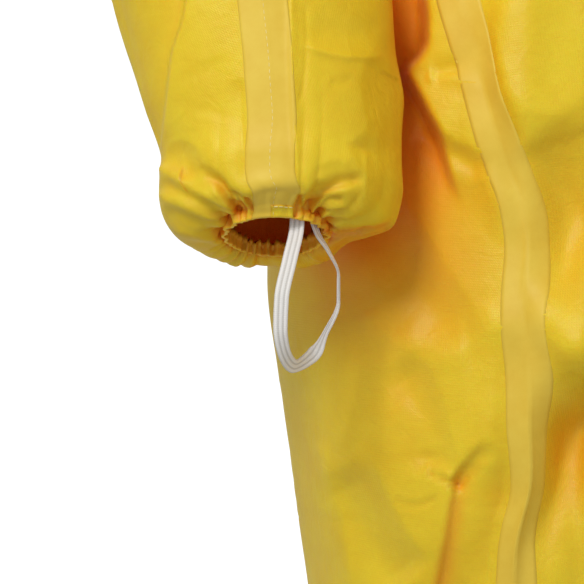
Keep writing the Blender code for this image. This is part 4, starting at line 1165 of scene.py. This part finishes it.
# The two sides.  Only the right one is seen from close by, so its grids are finer.
SIDES = {
    "right": dict(
        mirror=False, hood_seed=41,
        arm=dict(cols=228, rows=214, seed=11, count=34, placed=1.0),
        front=dict(cols=60, dense=150, seed=21, count=60, placed=1.0, spacing="even"),
        back=dict(cols=126, dense=168, seed=31, count=70, placed=1.0, spacing="closest")),
    "left": dict(
        mirror=True, hood_seed=101,
        arm=dict(cols=180, rows=100, seed=71, count=60, placed=0.7),
        front=dict(cols=54, dense=90, seed=81, count=70, placed=0.4, spacing="even"),
        back=dict(cols=76, dense=90, seed=91, count=90, placed=0.6, spacing="closer")),
}

cloths, heights = {}, {}
for side, plan in SIDES.items():
    mirror = plan["mirror"]
    cloth = {"sleeve": arm(**plan["arm"]), "front": panel(False, **plan["front"]),
             "back": panel(True, **plan["back"]), "hood": hood(70, 84, plan["hood_seed"], 60)}
    for word, grid in cloth.items():
        cloth_piece(word, side, grid, mirror)
    cloths[side] = cloth
    heights[side] = {name: body_heights(plan[name]["dense"]) for name in ("front", "back")}
    sleeve_trim(side, cloth["sleeve"], mirror)
    leg_tapes(side, cloth, heights[side], mirror)
    dress(thumb_loop(f"elastic_loop_{side}", elastic, mirror), "elastic_band", f"thumb_loop_{side}")

front, front_heights = cloths["right"]["front"], heights["right"]["front"]
middle_band("back_seam", "back_tape", "seam_tape", film, cloths["right"]["back"],
            heights["right"]["back"], from_end=True, reach=TAPE_REACH, count=6,
            low=CROTCH + 6 * MM, lift=TAPE_LIFT, thick=TAPE_SKIN)
flap, flap_points, flap_normals = middle_band(
    "front_flap_cloth", "front_flap", "coated_fabric", fabric, front, front_heights,
    from_end=False, reach=FLAP_REACH, count=16, low=FLAP_FOOT, lift=FLAP_LIFT, thick=FLAP_SKIN)
middle_band("zip_tapes", "zip", "zip_tape", zip_cloth, front, front_heights, from_end=False,
            reach=14 * MM, count=8, low=FLAP_FOOT, lift=-WALL - 1.6 * MM, thick=0.8 * MM,
            step=6.0 * MM)
declare(flap)
for word, column in (("right", 1), ("left", -2)):
    line = flap_points[:, column] + flap_normals[:, column] * (FLAP_LIFT + FLAP_SKIN)
    dress(stitches(f"flap_stitches_{word}", line, flap_normals[:, column], 3.4 * MM, 2.2 * MM,
                   0.3 * MM, thread), "coated_fabric")

floor_points = np.array(((-400, -400, 0), (400, -400, 0), (400, 400, 0), (-400, 400, 0)), float)
floor_points[:, 2] = ANKLE_HEM - 0.004
paper, paper_tree, paper_shader = material(
    "pale_paper", "#FFFFFF", 0.95, Emission_Color=(1.0, 1.0, 1.0, 1.0), Emission_Strength=0.66)
grain = node(paper_tree, "TexNoise", Scale=3.0)
tint = node(paper_tree, "ValToRGB", stops=((0.0, "#FAFAF9"), (1.0, "#FFFFFF")), Fac=grain)
feed(paper_tree, paper_shader, Base_Color=tint)
floor = grid_object("floor", floor_points, np.array(((0, 1, 2, 3),)), paper)
floor.visible_diffuse = False
floor.visible_glossy = False


def soft_light(name, place, aim, size, power):
    """A white square area light that the camera doesn't see, turned to its aim."""
    lamp = bpy.data.lights.new(name, "AREA")
    lamp.size, lamp.energy = size, power
    made = bpy.data.objects.new(name, lamp)
    bpy.context.scene.collection.objects.link(made)
    made.location = place
    made.rotation_euler = (Vector(aim) - Vector(place)).to_track_quat("-Z", "Y").to_euler()
    made.visible_camera = False


soft_light("key_light", (-0.84, -1.56, 0.72), (-0.22, -0.12, -0.55), 0.6, 25.0)
soft_light("fill_light", (1.2, -2.4, 0.2), (-0.1, 0.0, -0.6), 1.6, 2.0)
soft_light("back_light", (-1.0, 2.2, 1.2), (0.0, 0.0, -0.6), 1.6, 8.0)

world = bpy.data.worlds.new("studio")
bpy.context.scene.world = world
world.use_nodes = True
world.node_tree.nodes["Background"].inputs["Color"].default_value = (1.0, 1.0, 1.0, 1.0)
world.node_tree.nodes["Background"].inputs["Strength"].default_value = 0.50
bpy.context.scene.view_settings.view_transform = "Standard"

lens = bpy.data.cameras.new("camera")
lens.lens, lens.sensor_width, lens.clip_end = LENS_MM, SENSOR_MM, 1000.0
camera = bpy.data.objects.new("camera", lens)
camera.location = CAMERA_AT
camera.rotation_euler = (math.pi / 2 - PITCH, 0.0, 0.0)
bpy.context.scene.collection.objects.link(camera)
bpy.context.scene.camera = camera
